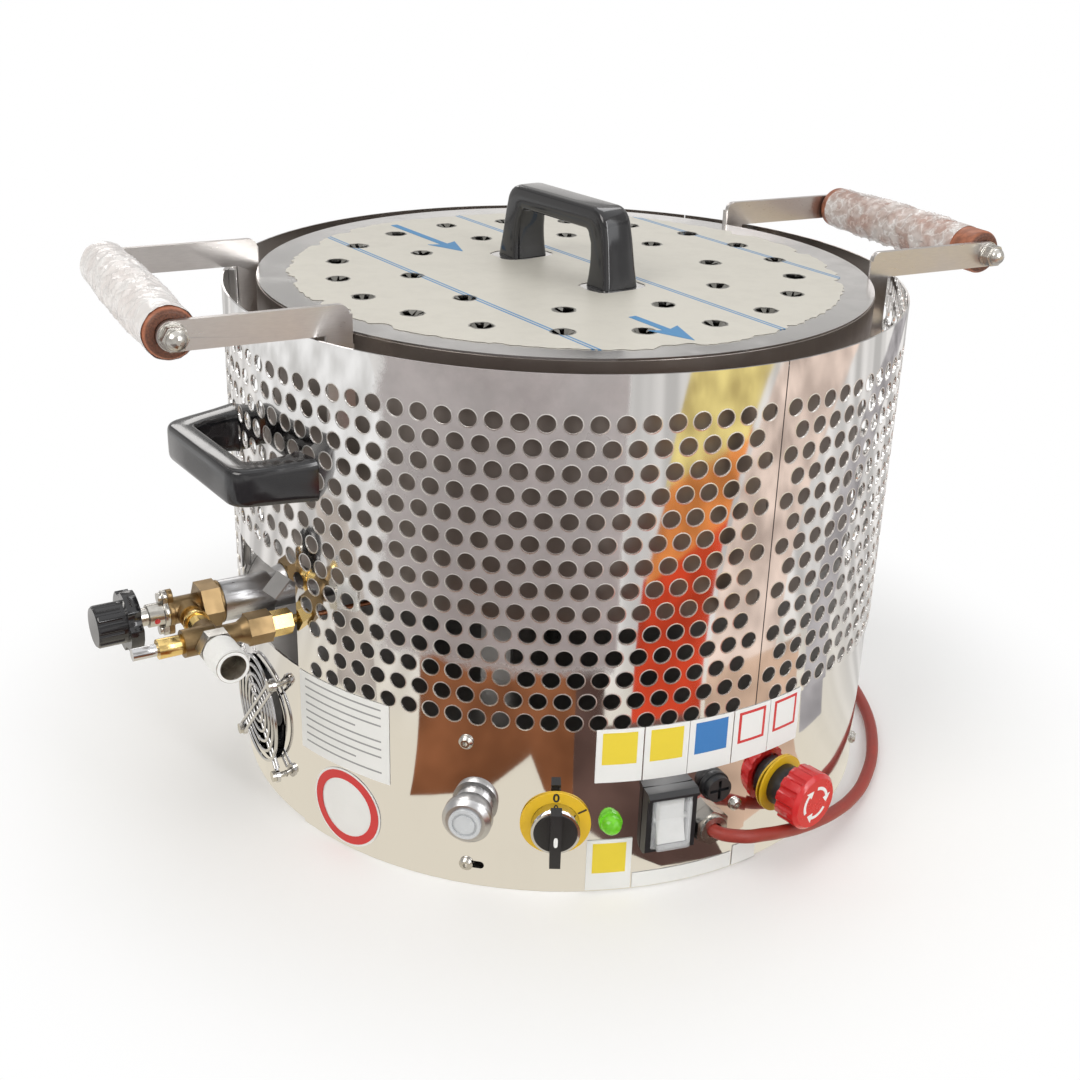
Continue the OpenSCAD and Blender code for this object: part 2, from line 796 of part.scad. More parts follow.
module fan_rotor() {
    color([0.1, 0.1, 0.1]) outward(fan_at[0], fan_face, fan_at[1]) difference() {
        union() {
            span(-fan_depth + 4, -3, 16);
            for (i = [0 : 6]) rotate([0, 0, i * 360 / 7]) translate([14, 0, -fan_depth / 2 - 0.5])
                rotate([38, 0, 0]) translate([0, -9, -0.7]) cube([fan_w / 2 - 19, 18, 1.4]);
        }
        span(-fan_depth, -5, 2 + run_gap);
    }
}

module fan_guard() {
    bar = fan_screw * sqrt(2) - 4;
    color([0.78, 0.78, 0.78]) outward(fan_at[0], guard_r, fan_at[1]) {
        for (r = [10, 17, 24, 31, 38]) rotate_extrude() translate([r * fan_w / 80, 0]) circle(d = guard_wire);
        for (s = [-1, 1]) rotate([0, 0, s * 45]) for (d = [-3.4, 3.4])
            translate([-bar, d, s > 0 ? 1 : -1]) rotate([0, 90, 0]) span(0, 2 * bar, guard_wire / 2);
        for (x = [-1, 1], y = [-1, 1]) translate([x * fan_screw, y * fan_screw, -guard_wire / 2]) difference() {
            cylinder(r = 4.8, h = guard_wire);
            translate([0, 0, -1]) cylinder(r = 2.3, h = guard_wire + 2);
        }
    }
}

module fan_screws() {
    reach = guard_r - fan_face;
    color([0.75, 0.75, 0.75]) outward(fan_at[0], guard_r, fan_at[1])
        for (x = [-1, 1], y = [-1, 1]) translate([x * fan_screw, y * fan_screw, guard_wire / 2 + 0.05]) {
            span(0, 2.6, 3.8);
            span(-reach - fan_depth - 6, 0, 2);
        }
}

// Drive

module gearbox() {
    color([0.5, 0.5, 0.52]) difference() {
        translate([-gearbox_w / 2, -gearbox_w / 2, divider_z - gearbox_h]) cube([gearbox_w, gearbox_w, gearbox_h]);
        translate([0, 0, divider_z - 22]) cylinder(r = shaft_r + run_gap, h = 30);
    }
}

module motor() {
    color([0.2, 0.2, 0.22]) {
        span(24, divider_z - gearbox_h, motor_r);
        span(18, 24, motor_r - 8);
    }
}

module drive_shaft() {
    top = pot_z + hub_tube_h - 4;
    color([0.7, 0.7, 0.7]) {
        span(divider_z - 21, top, shaft_r);
        translate([-square_w / 2, -square_w / 2, top]) cube([square_w, square_w, 18]);
    }
}

module stirrer() {
    top = pot_z + hub_tube_h + free_gap;
    low = pot_z + pot_t + 2.5;
    hole = square_w + 2 * 0.4;
    color([0.72, 0.72, 0.72]) difference() {
        union() {
            span(low + 1, top + 9, hub_tube_r + 8);
            for (i = [0 : 2]) rotate([0, 0, 20 + i * 120]) translate([hub_tube_r + 4, -4, low])
                cube([stirrer_r - hub_tube_r - 4, 8, 22]);
        }
        span(low - 1, top, hub_tube_r + run_gap);
        translate([-hole / 2, -hole / 2, top - 1]) cube([hole, hole, 12]);
    }
}

// Pot and lid

module pot_shell() {
    color([0.55, 0.56, 0.58]) difference() {
        union() {
            difference() {
                span(pot_z, pot_top, pot_r);
                span(pot_z + pot_t, pot_top + 1, pot_in);
            }
            span(pot_z, pot_z + hub_tube_h, hub_tube_r);
        }
        span(pot_z - 1, pot_z + hub_tube_h + 1, hub_tube_r - 2);
    }
}

module both_pot_handles() {
    for (a = [0, 180]) polar(pot_handle_az + a, 0, 0) children();
}

module handle_arms() {
    in_x = sqrt(pow(pot_r, 2) - pow(arm_y + arm_t, 2)) - 4;
    corner_x = sqrt(pow(pot_r + free_gap, 2) - pow(arm_y - arm_t / 2, 2)) + arm_corner;
    corner_z = arm_z + arm_h / 2 - arm_corner;
    color([0.78, 0.78, 0.78]) difference() {
        both_pot_handles() for (s = [-1, 1]) translate([0, s * arm_y - arm_t / 2, 0]) difference() {
            union() {
                translate([in_x, 0, arm_z - arm_h / 2]) cube([grip_x - in_x, arm_t, arm_h]);
                translate([grip_x, 0, arm_z]) rotate([-90, 0, 0]) cylinder(d = arm_h, h = arm_t);
                translate([in_x, 0, pot_top - 60]) cube([22, arm_t, arm_z - pot_top + 60]);
            }
            translate([grip_x, -1, arm_z]) rotate([-90, 0, 0]) cylinder(d = rod_d + 0.3, h = arm_t + 2);
            translate([corner_x, -1, corner_z]) difference() {
                translate([-20, 0, 0]) cube([20, arm_t + 2, 20]);
                rotate([-90, 0, 0]) cylinder(r = arm_corner, h = arm_t + 2);
            }
        }
        span(pot_z, pot_top - 5, pot_r);
        span(pot_top - 6, arm_z + arm_h, pot_r + free_gap);
    }
}

module handle_rods() {
    end = arm_y + arm_t / 2;
    color([0.72, 0.71, 0.68]) both_pot_handles() translate([grip_x, 0, arm_z]) rotate([-90, 0, 0]) {
        span(-end - 8, end + 8, rod_d / 2);
        for (s = [0, 180]) rotate([s, 0, 0]) {
            span(end, end + 1.6, rod_d / 2 + 3.5);
            hex(end + 1.6, end + 8, rod_d + 4);
            span(end + 7.5, end + 10, rod_d / 2 + 1);
            translate([0, 0, end + 10]) cylinder(r1 = rod_d / 2 + 1, r2 = rod_d / 2 - 1, h = 2.5);
            translate([0, 0, end + 12.5]) cylinder(r1 = rod_d / 2 - 1, r2 = rod_d / 2 - 3.5, h = 1.2);
        }
    }
}

module grip(a) {
    color([0.5, 0.25, 0.14]) polar(pot_handle_az + a, grip_x, arm_z) rotate([-90, 0, 0]) difference() {
        union() {
            span(-grip_l / 2 + 3, grip_l / 2 - 3, grip_d / 2);
            translate([0, 0, grip_l / 2 - 3]) cylinder(r1 = grip_d / 2, r2 = grip_d / 2 - 2.5, h = 3);
            translate([0, 0, -grip_l / 2]) cylinder(r1 = grip_d / 2 - 2.5, r2 = grip_d / 2, h = 3);
        }
        span(-grip_l, grip_l, rod_d / 2 + run_gap);
        for (s = [0, 180]) rotate([s, 0, 0]) span(grip_l / 2 - 4, grip_l, rod_d / 2 + 3.5);
    }
}

module grip_left() {
    grip(0);
}

module grip_right() {
    grip(180);
}

module lid_plate() {
    color([0.85, 0.84, 0.8]) {
        difference() {
            translate([0, 0, pot_top]) cylinder(r = lid_r, h = lid_t, $fn = 96);
            for (i = [0 : 9]) polar(i * 36, lid_ring_1, pot_top - 1) cylinder(d = lid_hole_d, h = lid_t + 2);
            for (i = [0 : 19]) polar(i * 18, lid_ring_2, pot_top - 1) cylinder(d = lid_hole_d, h = lid_t + 2);
        }
        difference() {
            span(pot_top - 12, pot_top, pot_in - 3);
            span(pot_top - 13, pot_top + 1, pot_in - 4.2);
        }
        for (s = [-1, 1]) polar(lid_handle_az, s * (bridge_l / 2 - 9), 0) span(pot_top - 3, pot_top, 4.5);
    }
}

// A bridge handle: feet on local z = 0, span along x, width along y
function arc(c, r, a0, a1) = [for (i = [0 : 6]) c + r * [cos(a0 + (a1 - a0) * i / 6), sin(a0 + (a1 - a0) * i / 6)]];

module bridge(drop) {
    x0 = bridge_l / 2;
    x1 = x0 - 5;
    outer = concat([[x0, -drop], [x0, 0]], arc([x1 - 14, bridge_h - 14], 14, 8, 90));
    inner = concat([[x0 - 18, -drop], [x0 - 18, 0]], arc([x1 - 18 - 4, bridge_h - 16 - 4], 4, 8, 90));
    difference() {
        rotate([90, 0, 0]) linear_extrude(bridge_w, center = true)
            polygon(concat(outer, [for (p = rev(outer)) [-p[0], p[1]]],
                [for (p = inner) [-p[0], p[1]]], rev(inner)));
        for (s = [-1, 1]) translate([0, s * bridge_w / 2, bridge_h]) rotate([45, 0, 0])
            cube([bridge_l, 7, 7], center = true);
    }
}

module lid_handle() {
    color([0.05, 0.05, 0.05]) polar(lid_handle_az, 0, lid_z) bridge(0);
}

module side_handles() {
    color([0.05, 0.05, 0.05]) difference() {
        for (a = [0, 180]) outward(side_handle_az + a, shield_r - side_sink, side_handle_z) bridge(2);
        translate([0, 0, side_handle_z - 40]) cylinder(r = shield_r + 0.1, h = 80, $fn = 96);
    }
}

// Cord

// Points of a smooth line through p, with k steps between each two
function smooth(p, k) = concat([for (i = [0 : len(p) - 2]) for (j = [0 : k - 1])
    let (t = j / k, a = p[max(i - 1, 0)], b = p[i], c = p[i + 1], d = p[min(i + 2, len(p) - 1)])
    0.5 * (2 * b + (c - a) * t + (2 * a - 5 * b + 4 * c - d) * t * t + (3 * b - a - 3 * c + d) * t * t * t)],
    [p[len(p) - 1]]);

function heading(p, i) = unit(i == 0 ? p[1] - p[0] : i == len(p) - 1 ? p[i] - p[i - 1] :
    unit(p[i + 1] - p[i]) + unit(p[i] - p[i - 1]));

function ring(c, t, r, n) = let (s = unit(cross(t, [0, 0, 1])), u = cross(s, t))
    [for (k = [0 : n - 1]) c + r * (cos(k * 360 / n) * s + sin(k * 360 / n) * u)];

module sweep(p, r, n) {
    m = len(p);
    polyhedron(
        points = [for (i = [0 : m - 1]) each ring(p[i], heading(p, i), r, n)],
        faces = concat([[for (k = [0 : n - 1]) k]],
            [for (i = [0 : m - 2]) for (k = [0 : n - 1]) [i * n + k, (i + 1) * n + k, i * n + (k + 1) % n]],
            [for (i = [0 : m - 2]) for (k = [0 : n - 1])
                [i * n + (k + 1) % n, (i + 1) * n + k, (i + 1) * n + (k + 1) % n]],
            [[for (k = [n - 1 : -1 : 0]) (m - 1) * n + k]]));
}

coil_dir = [cos(coil_head), sin(coil_head), 0];
coil_side = [sin(coil_head), -cos(coil_head), 0];
coil_mid = [coil_c[0], coil_c[1], coil_z];
coil_start = coil_mid - coil_r * coil_side;
half_turns = coil_turns / 2 + 0.25;

function coil_radius(u) = coil_r - coil_step * (u < half_turns ? u : 2 * half_turns - u);
function coil_lift(u) = let (t = min(max((u - half_turns + 0.25) * 2, 0), 1)) coil_rise * t * t * (3 - 2 * t);
function coil_point(u) = coil_mid + [0, 0, coil_lift(u)]
    - coil_radius(u) * (cos(u * 360) * coil_side - sin(u * 360) * coil_dir);

coil_path = concat([coil_start - coil_dir * cord_d], [for (i = [0 : 24 * coil_turns]) coil_point(i / 24)],
    [coil_point(coil_turns) + coil_dir * coil_tail]);
coil_gap = min([for (i = [0 : len(coil_path) - 14]) for (j = [i + 12 : len(coil_path) - 2])
    norm(coil_path[i] - coil_path[j])]) - cord_d;
echo(coil_gap = coil_gap);

cord_path = concat([pol3(gland_at[0], face_r + gland_floor, gland_at[1])],
    smooth(concat([pol3(gland_at[0], face_r + 13, gland_at[1])],
        [for (p = cord_way) pol3(p[0], shield_r + p[1], p[2])],
        [coil_start - coil_dir * 3 * cord_d]), 3),
    [coil_start - coil_dir * cord_d]);
module power_cord() {
    color([0.5, 0.12, 0.08]) sweep(cord_path, cord_d / 2, 10);
}

module cord_coil() {
    color([0.5, 0.12, 0.08]) sweep(coil_path, cord_d / 2, 6);
}

module cord_plug() {
    end = coil_point(coil_turns) + coil_dir * coil_tail;
    relief = 26;
    body = 34;
    color([0.07, 0.07, 0.07]) translate(end) rotate([0, 0, coil_head]) rotate([90, 0, 90]) {
        cylinder(r1 = cord_d / 2 + 0.8, r2 = cord_d / 2 + 4.6, h = relief);
        translate([-18, -end[2] + 0.2, relief]) cube([36, 2 * (end[2] - 0.2), body]);
        for (s = [-1, 1]) translate([s * 9.5, 0, relief + body - 1]) span(0, 20, 2.4);
    }
}

base_plate();
base_band();
front_sheet();
right_sheet();
rear_sheet();
seam_straps();
divider_plate();
frame_posts();
pot_support();
burner_ring();
venturi_tube();
jet_nut();
gas_tap_body();
tap_collar();
valve_body();
valve_fittings();
thermo_lead();
gas_nipple();
spark_electrode();
piezo_collar();
selector_plate();
selector_bezel();
pilot_lamp();
rocker_frame();
rocker_boot();
fuse_holder();
cable_gland();
case_screws();
estop_plate();
estop_bezel();
control_box();
fan_frame();
fan_guard();
fan_screws();
gearbox();
motor();
side_handles();
power_cord();
cord_coil();
cord_plug();
drive_shaft();
fan_rotor();
selector_knob();
piezo_button();
rocker();
estop_stem();
estop_head();
tap_stem();
gas_knob();
valve_pin();
air_shutter();
pot_shell();
handle_arms();
handle_rods();
grip_left();
grip_right();
stirrer();
lid_plate();
lid_handle();
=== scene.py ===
"""Looks of a gas-fired chestnut roaster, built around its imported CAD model."""

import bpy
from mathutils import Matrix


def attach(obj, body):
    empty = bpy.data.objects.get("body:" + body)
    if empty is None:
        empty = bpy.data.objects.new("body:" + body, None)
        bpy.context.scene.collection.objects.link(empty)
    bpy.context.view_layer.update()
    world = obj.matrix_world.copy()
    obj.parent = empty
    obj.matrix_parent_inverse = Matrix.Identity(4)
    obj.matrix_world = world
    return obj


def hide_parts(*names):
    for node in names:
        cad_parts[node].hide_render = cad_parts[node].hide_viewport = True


bl_info = {
    "name": "Chestnut roaster looks",
    "version": (1, 0, 0),
    "blender": (4, 5, 0),
    "location": "3D View > Sidebar > Roaster",
    "description": "Gives a chestnut roaster its finishes, film, handles, labels, cord and stage",
    "category": "Object",
}

import math
import random

import bmesh
import bpy
from bpy.props import FloatProperty, FloatVectorProperty, PointerProperty
from bpy.types import Operator, Panel, PropertyGroup
from mathutils import Matrix, Vector, noise

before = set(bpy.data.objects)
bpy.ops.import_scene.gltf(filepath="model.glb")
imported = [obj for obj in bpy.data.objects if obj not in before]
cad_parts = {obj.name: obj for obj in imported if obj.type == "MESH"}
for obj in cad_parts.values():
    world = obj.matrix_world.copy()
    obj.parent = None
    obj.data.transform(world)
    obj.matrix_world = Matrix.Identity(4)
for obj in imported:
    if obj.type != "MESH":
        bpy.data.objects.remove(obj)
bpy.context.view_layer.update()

# Sizes that the CAD model fixes, in metres and degrees
SHIELD_R = 0.235
SHEET_T = 0.0012
# How far off the drum the sheet's bent corner starts
BEND_FROM = 0.0008
FACE_R = 0.23505
BAND_FACE = 0.23348
HOLE_MOST, PUNCHED_FROM = 0.0075, 0.118
# Section of the bright edge round a punched hole: width and lift
RIM = ((-0.00005, -0.0005), (0.00012, 0.00012), (0.00078, 0.00003), (0.0004, -0.0003))
RIM_STEPS = 18
LID_TOP = 0.3513
FILM_Z = LID_TOP + 0.0002
LID_RINGS = ((10, 0.1086), (20, 0.159))
LID_HOLE = 0.00725
LID_HANDLE_AZ = 37
FILM_LINE, FILM_PITCH, FILM_TURN = 0.0982, 0.126, -53.8
BRIDGE_L, BRIDGE_H, BRIDGE_W = 0.124, 0.052, 0.024
# Sides of a bridge handle's leg: distance past the foot's end, and height
LEG_OUTER = ((0.0022, 0.0), (0.0012, 0.007), (-0.0002, 0.014), (-0.0016, 0.023), (-0.0032, 0.032))
LEG_INNER = ((-0.0215, 0.0), (-0.0206, 0.007), (-0.0200, 0.014), (-0.0202, 0.021), (-0.0210, 0.028))
SIDE_HANDLE = (-54, 0.260)
# Radius at which the ends of a side handle's feet touch the drum
SIDE_SEAT = math.sqrt(SHIELD_R ** 2 - (BRIDGE_L / 2) ** 2)
POT_HANDLE_AZ, GRIP_X, GRIP_Z, GRIP_L, GRIP_R = -62, 0.297, 0.3592, 0.1788, 0.0155
# The grips' wraps: name, turn from the left handle, and ends along the grip
WRAPS = (("left", 0, (-0.0862, 0.0862)), ("right", 180, (-0.070, 0.081)))
GAS_AZ, GAS_Z, BRANCH_X = -58, 0.1535, 0.286
INLET_0, INLET_L, INLET_R = 0.0665, 0.025, 0.01048
KNOB_0, COLLAR_0 = 0.319, 0.3015
SELECTOR = (1.45, 0.0537)
ESTOP = (41.6, 0.051)
ESTOP_TOP = 0.0315
GLAND = (26.1, 0.043)
CORD_WAY = ((29, 23, 42), (33.5, 23, 37), (38, 19, 29.5), (42, 17, 24), (47, 16, 19), (53, 15, 13),
            (60, 15, 8), (68, 15, 5), (80, 15, 4.5), (95, 15, 4.5), (110, 15, 4.5), (125, 15, 4.5))
COIL_C, COIL_R, COIL_HEAD, COIL_TURNS, COIL_TAIL = (0.170, 0.265), 0.062, 140, 4, 0.058
# Half sizes of the coil's tie, and its thickness
TIE_L, TIE_H, TIE_W, TIE_T = 0.0168, 0.0092, 0.006, 0.0009
LABEL_T = 0.00015
# The photograph's camera: focal length in pixels of a 1080-pixel frame, place and turns
CAMERA_F, CAMERA_Y, CAMERA_Z = 1492.9, -1.0271, 0.5979
CAMERA_PITCH, CAMERA_ROLL, CAMERA_YAW = 0.4154, 0.0306, -0.0116
FRAME_PX, SENSOR = 1080, 36.0
# Plain cards that lie on the ground round the roaster and show in its steel alone. Corners: the azimuth
# on the drum where the photograph's view mirrors them, and how far they are from the axis
CARDS = (
    ("white_card", (0.99, 0.98, 0.96), ((-62, 0.85), (-28, 0.85), (-28, 2.4), (-62, 2.4))),
    ("brown_board", (0.25, 0.095, 0.042),
     ((-27, 0.315), (-12, 0.345), (-3.6, 0.398), (-0.6, 0.352), (5, 0.315), (5, 0.55), (-27, 0.55))),
    ("slate_board", (0.22, 0.185, 0.18), ((-27, 0.55), (5, 0.55), (9.5, 0.80), (9.5, 1.15), (-27, 1.15))),
    ("dark_board", (0.12, 0.07, 0.058),
     ((5, 0.315), (11.4, 0.285), (20, 0.252), (31.5, 0.248), (31.5, 0.44), (11, 0.44), (10, 0.70),
      (5, 0.70))),
    ("red_card", (0.55, 0.055, 0.022), ((16.5, 0.44), (31.5, 0.44), (31.5, 0.86), (16.5, 0.70))),
    ("orange_card", (0.72, 0.25, 0.07), ((17, 0.68), (31.5, 0.82), (31.5, 1.10), (19, 0.96))),
    ("gold_card", (0.80, 0.62, 0.24), ((18, 0.93), (31, 1.06), (31, 2.4), (18, 2.4))),
    ("tan_card", (0.60, 0.42, 0.31), ((32.5, 0.26), (58, 0.29), (58, 0.50), (32.5, 0.50))),
    ("blush_card", (0.76, 0.60, 0.52), ((32.5, 0.50), (50, 0.50), (47, 2.4), (32.5, 2.4))),
    ("grey_card", (0.42, 0.40, 0.41), ((60, 0.33), (69, 0.33), (71, 2.4), (62, 2.4))),
    ("left_card", (0.45, 0.40, 0.36), ((-48, 0.42), (-37, 0.42), (-42, 0.80), (-50, 0.80))),
)
# A card's azimuth on the ground over that on the drum, at a mean reach, and its growth with the reach
CARD_MEAN, CARD_TURN, CARD_SPREAD = 0.43, 1.2, 0.94
# The wall that shows in the steel alone: radius, height and count of corners
WALL_R, WALL_H, WALL_STEPS = 2.6, 3.2, 64
# Where the grey film on the shield fades out: azimuths at its left and right, and millimetres above the floor
HAZE_LEFT, HAZE_RIGHT, HAZE_LOW = (-27.5, -25), (9.0, 9.8), (156, 168)


# Properties

def colour(name, words, value):
    """A colour property."""
    return FloatVectorProperty(name=name, description=words, default=value, subtype="COLOR", min=0, max=1)


def length(name, words, value):
    """A length property in metres."""
    return FloatProperty(name=name, description=words, default=value, unit="LENGTH", precision=5, min=0)


def strength(name, words, value, unit="POWER"):
    """A light's power or strength."""
    return FloatProperty(name=name, description=words, default=value, unit=unit, min=0)


class RoasterColours(PropertyGroup):
    """Colours of the roaster's finishes"""

    steel: colour("Polished steel", "Shield and base", (0.88, 0.87, 0.86))
    satin: colour("Satin steel", "Plates and stirrer", (0.52, 0.51, 0.50))
    pot: colour("Pot steel", "Heat-browned steel of the pot", (0.36, 0.315, 0.285))
    bar: colour("Brushed bar", "Arms of the pot's handles", (0.64, 0.61, 0.59))
    haze: colour("Film haze", "Grey film left on the shield", (0.31, 0.275, 0.275))
    film: colour("Lid film", "Protective film on the lid", (0.665, 0.64, 0.57))
    film_ink: colour("Film lines", "Lines printed on the film", (0.045, 0.24, 0.50))
    wood: colour("Grip wood", "Wood of the grips", (0.42, 0.145, 0.072))
    bakelite: colour("Bakelite", "Bridge handles and gas knob", (0.012, 0.012, 0.014))
    black: colour("Black plastic", "Switch frames and fan", (0.018, 0.018, 0.020))
    red: colour("Stop red", "Head of the stop button", (0.62, 0.020, 0.022))
    yellow: colour("Plate yellow", "Plates behind the selector and the stop button", (0.80, 0.50, 0.012))
    green: colour("Lamp green", "Lens of the pilot lamp", (0.16, 0.55, 0.025))
    cord: colour("Cord", "Silicone sheath of the cord", (0.31, 0.030, 0.018))
    brass: colour("Bright brass", "Valve fittings", (0.93, 0.68, 0.27))
    old_brass: colour("Dull brass", "Tap and valve bodies", (0.32, 0.22, 0.11))


class RoasterSizes(PropertyGroup):
    """Sizes of the pieces that are made here"""

    film_r: length("Film radius", "Mean radius of the lid's film", 0.191)
    film_t: length("Film thickness", "Thickness of the lid's film", 0.00018)
    label_lift: length("Label lift", "How far labels stand off the steel", 0.0003)
    cord_d: length("Cord diameter", "Outside of the power cord", 0.0088)
    wrap_gap: length("Wrap gap", "Slack of the clear wrap on the grips", 0.0003)


class RoasterStage(PropertyGroup):
    """Light and ground"""

    floor: colour("Floor", "Pale floor", (0.94, 0.94, 0.935))
    ground: colour("Mirrored ground", "Pale ground that the steel mirrors beside it", (0.80, 0.74, 0.62))
    room: colour("Mirrored room", "Paler tone that the steel mirrors further off", (0.90, 0.88, 0.86))
    key: strength("Key", "Power of the key light", 22)
    fill: strength("Fill", "Power of the fill light", 10)
    strip: strength("Strip", "Power of the narrow light", 5)
    sky: strength("Sky", "Strength of the world", 0.56, "NONE")


# Shader recipes

class Signal:
    """An output socket. Arithmetic on it adds Math nodes to its recipe."""

    def __init__(self, recipe, socket):
        self.recipe = recipe
        self.socket = socket

    def maths(self, operation, *values):
        """A Math node over these values."""
        return self.recipe.node("ShaderNodeMath", {"operation": operation}, dict(enumerate(values)))

    def __add__(self, other):
        return self.maths("ADD", self, other)

    def __sub__(self, other):
        return self.maths("SUBTRACT", self, other)

    def __rsub__(self, other):
        return self.maths("SUBTRACT", other, self)

    def __mul__(self, other):
        return self.maths("MULTIPLY", self, other)

    def __mod__(self, other):
        return self.maths("FLOORED_MODULO", self, other)

    def __neg__(self):
        return self.maths("MULTIPLY", self, -1)

    def __abs__(self):
        return self.maths("ABSOLUTE", self)

    def root(self):
        """The square root."""
        return self.maths("SQRT", self)

    __radd__ = __add__
    __rmul__ = __mul__

    def rise(self, low, high, start=0.0, end=1.0):
        """A smooth step from start to end as the value goes from low to high."""
        return self.recipe.node("ShaderNodeMapRange", {"interpolation_type": "SMOOTHSTEP"},
                                {0: self, 1: low, 2: high, 3: start, 4: end})


class Nodes:
    """The node tree of a world or a material."""

    def __init__(self, owner):
        owner.use_nodes = True
        self.tree = owner.node_tree

    def node(self, kind, settings=None, links=None, out=0):
        """Adds a node, sets it up, joins its sockets and returns one of its outputs."""
        made = self.tree.nodes.new(kind)
        for key, value in (settings or {}).items():
            setattr(made, key, value)
        for key, value in (links or {}).items():
            self.join(made.inputs[key], value)
        return Signal(self, made.outputs[out])

    def join(self, socket, value):
        """Links a signal to a socket, or sets a value on it."""
        if isinstance(value, Signal):
            self.tree.links.new(value.socket, socket)
        elif hasattr(value, "__len__") and socket.type == "RGBA":
            socket.default_value = (*value[:3], 1)
        else:
            socket.default_value = value


class Recipe(Nodes):
    """A material made of nodes."""

    def __init__(self, name):
        self.material = bpy.data.materials.new(name)
        super().__init__(self.material)
        self.shader = self.tree.nodes["Principled BSDF"]
        self.place = self.node("ShaderNodeTexCoord", out="Object")

    def paint(self, **sockets):
        """Sets or links sockets of the surface, such as Base_Color, and returns the material."""
        for key, value in sockets.items():
            self.join(self.shader.inputs[key.replace("_", " ")], value)
        return self.material

    def mix(self, share, a, b):
        """A colour between a and b."""
        return self.node("ShaderNodeMix", {"data_type": "RGBA"}, {0: share, 6: a, 7: b}, out=2)

    def axes(self):
        """The place's x, y and z."""
        split = self.node("ShaderNodeSeparateXYZ", None, {0: self.place}).socket.node
        return [Signal(self, o) for o in split.outputs]

    def reach(self):
        """Distance from the roaster's axis."""
        x, y, _ = self.axes()
        return (x * x + y * y).root()

    def azimuth(self):
        """Azimuth in degrees, counted from the front towards the viewer's right."""
        x, y, _ = self.axes()
        return x.maths("ARCTAN2", x, -y) * (180 / math.pi)

    def cover(self, share, other):
        """Lays another shader over the surface by a share."""
        under = Signal(self, self.shader.outputs[0])
        top = self.node("ShaderNodeMixShader", None, {0: share, 1: under, 2: other})
        self.join(self.tree.nodes["Material Output"].inputs["Surface"], top)

    def stretched(self, scale):
        """The place, stretched along its axes."""
        return self.node("ShaderNodeMapping", None, {"Vector": self.place, "Scale": scale})

    def cloud(self, scale, detail=3.0, rough=0.55, at=None):
        """Noise from 0 to 1."""
        return self.node("ShaderNodeTexNoise", None, {"Vector": at or self.place, "Scale": scale,
                                                      "Detail": detail, "Roughness": rough})

    def cells(self, scale, at=None, out=0):
        """A field of cells: the distance in it, or another of its outputs."""
        return self.node("ShaderNodeTexVoronoi", None, {"Vector": at or self.place, "Scale": scale}, out)

    def bump(self, height, strength, depth):
        """A bump in metres."""
        return self.node("ShaderNodeBump", None, {"Strength": strength, "Distance": depth, "Height": height})


def shade(tint, factor):
    """A colour made darker or lighter."""
    return tuple(min(1.0, c * factor) for c in tint[:3])


def metal(name, tint, rough, grain=(1, 1, 1), grain_scale=60.0, stain=0.25, relief=0.0001, dark=0.55):
    """Bare metal with grain along an axis, stains and fine scratches."""
    r = Recipe(name)
    line = r.cloud(grain_scale, 4, 0.6, r.stretched(grain))
    blot = r.cloud(22, 4, 0.6).rise(0.45, 0.75)
    fine = r.cloud(900, 2)
    base = r.mix(blot * stain, r.mix(line.rise(0.3, 0.7) * 0.35, tint, shade(tint, 0.82)), shade(tint, dark))
    return r.paint(Base_Color=base, Metallic=1.0, Roughness=rough + blot * 0.12 + (line - 0.5) * 0.16,
                   Normal=r.bump(line + fine * 0.3, 0.25, relief))


def plastic(name, tint, rough, texture=0.00006, wear=0.12, coat=0.0, scale=700.0):
    """Moulded plastic with a fine skin, dust and rubbed patches."""
    r = Recipe(name)
    skin = r.cloud(scale, 2)
    rub = r.cloud(35, 4, 0.65).rise(0.5, 0.8)
    base = r.mix(rub * wear, r.mix(skin * 0.25, tint, shade(tint, 0.86)), shade(tint, 1.35))
    return r.paint(Base_Color=base, Roughness=rough + rub * 0.12 + (skin - 0.5) * 0.08,
                   Normal=r.bump(skin, 0.2, texture), Coat_Weight=coat, Coat_Roughness=0.08)


def polished_steel(name, tint, haze):
    """Mirror-rolled sheet with a slow wave, wiped streaks and, where asked, a patch of grey film."""
    r = Recipe(name)
    _, _, z = r.axes()
    wave = r.cloud(7, 2, 0.4, r.stretched((1, 1, 0.35)))
    streak = r.cloud(26, 4, 0.6, r.stretched((1, 1, 0.05)))
    smear = r.cloud(13, 5, 0.62).rise(0.5, 0.78)
    rough = 0.05 + smear * 0.07 + streak.rise(0.45, 0.8) * 0.05
    base = r.mix(smear * 0.16 + streak.rise(0.5, 0.75) * 0.12, tint, shade(tint, 0.74))
    metallic = 1.0
    if haze is not None:
        torn = (r.cloud(30, 5, 0.7) - 0.5) * 8
        left = (r.azimuth() + torn).rise(*HAZE_LEFT)
        right = (r.azimuth() + torn * 0.12).rise(*HAZE_RIGHT, 1, 0)
        low = (z * 1000 + torn * 4).rise(*HAZE_LOW)
        veil = r.cloud(14, 4, 0.6).rise(0.3, 0.7)
        patch = left * right * low * (0.8 + veil * 0.2)
        base = r.mix(patch * 0.9, base, r.mix(r.cloud(26, 5, 0.65).rise(0.35, 0.7), haze, shade(haze, 1.35)))
        rough = rough + patch * (0.26 + veil * 0.1)
        metallic = 1 - patch * 0.55
    return r.paint(Base_Color=base, Metallic=metallic, Roughness=rough,
                   Normal=r.bump(wave + streak * 0.05, 0.15, 0.004))


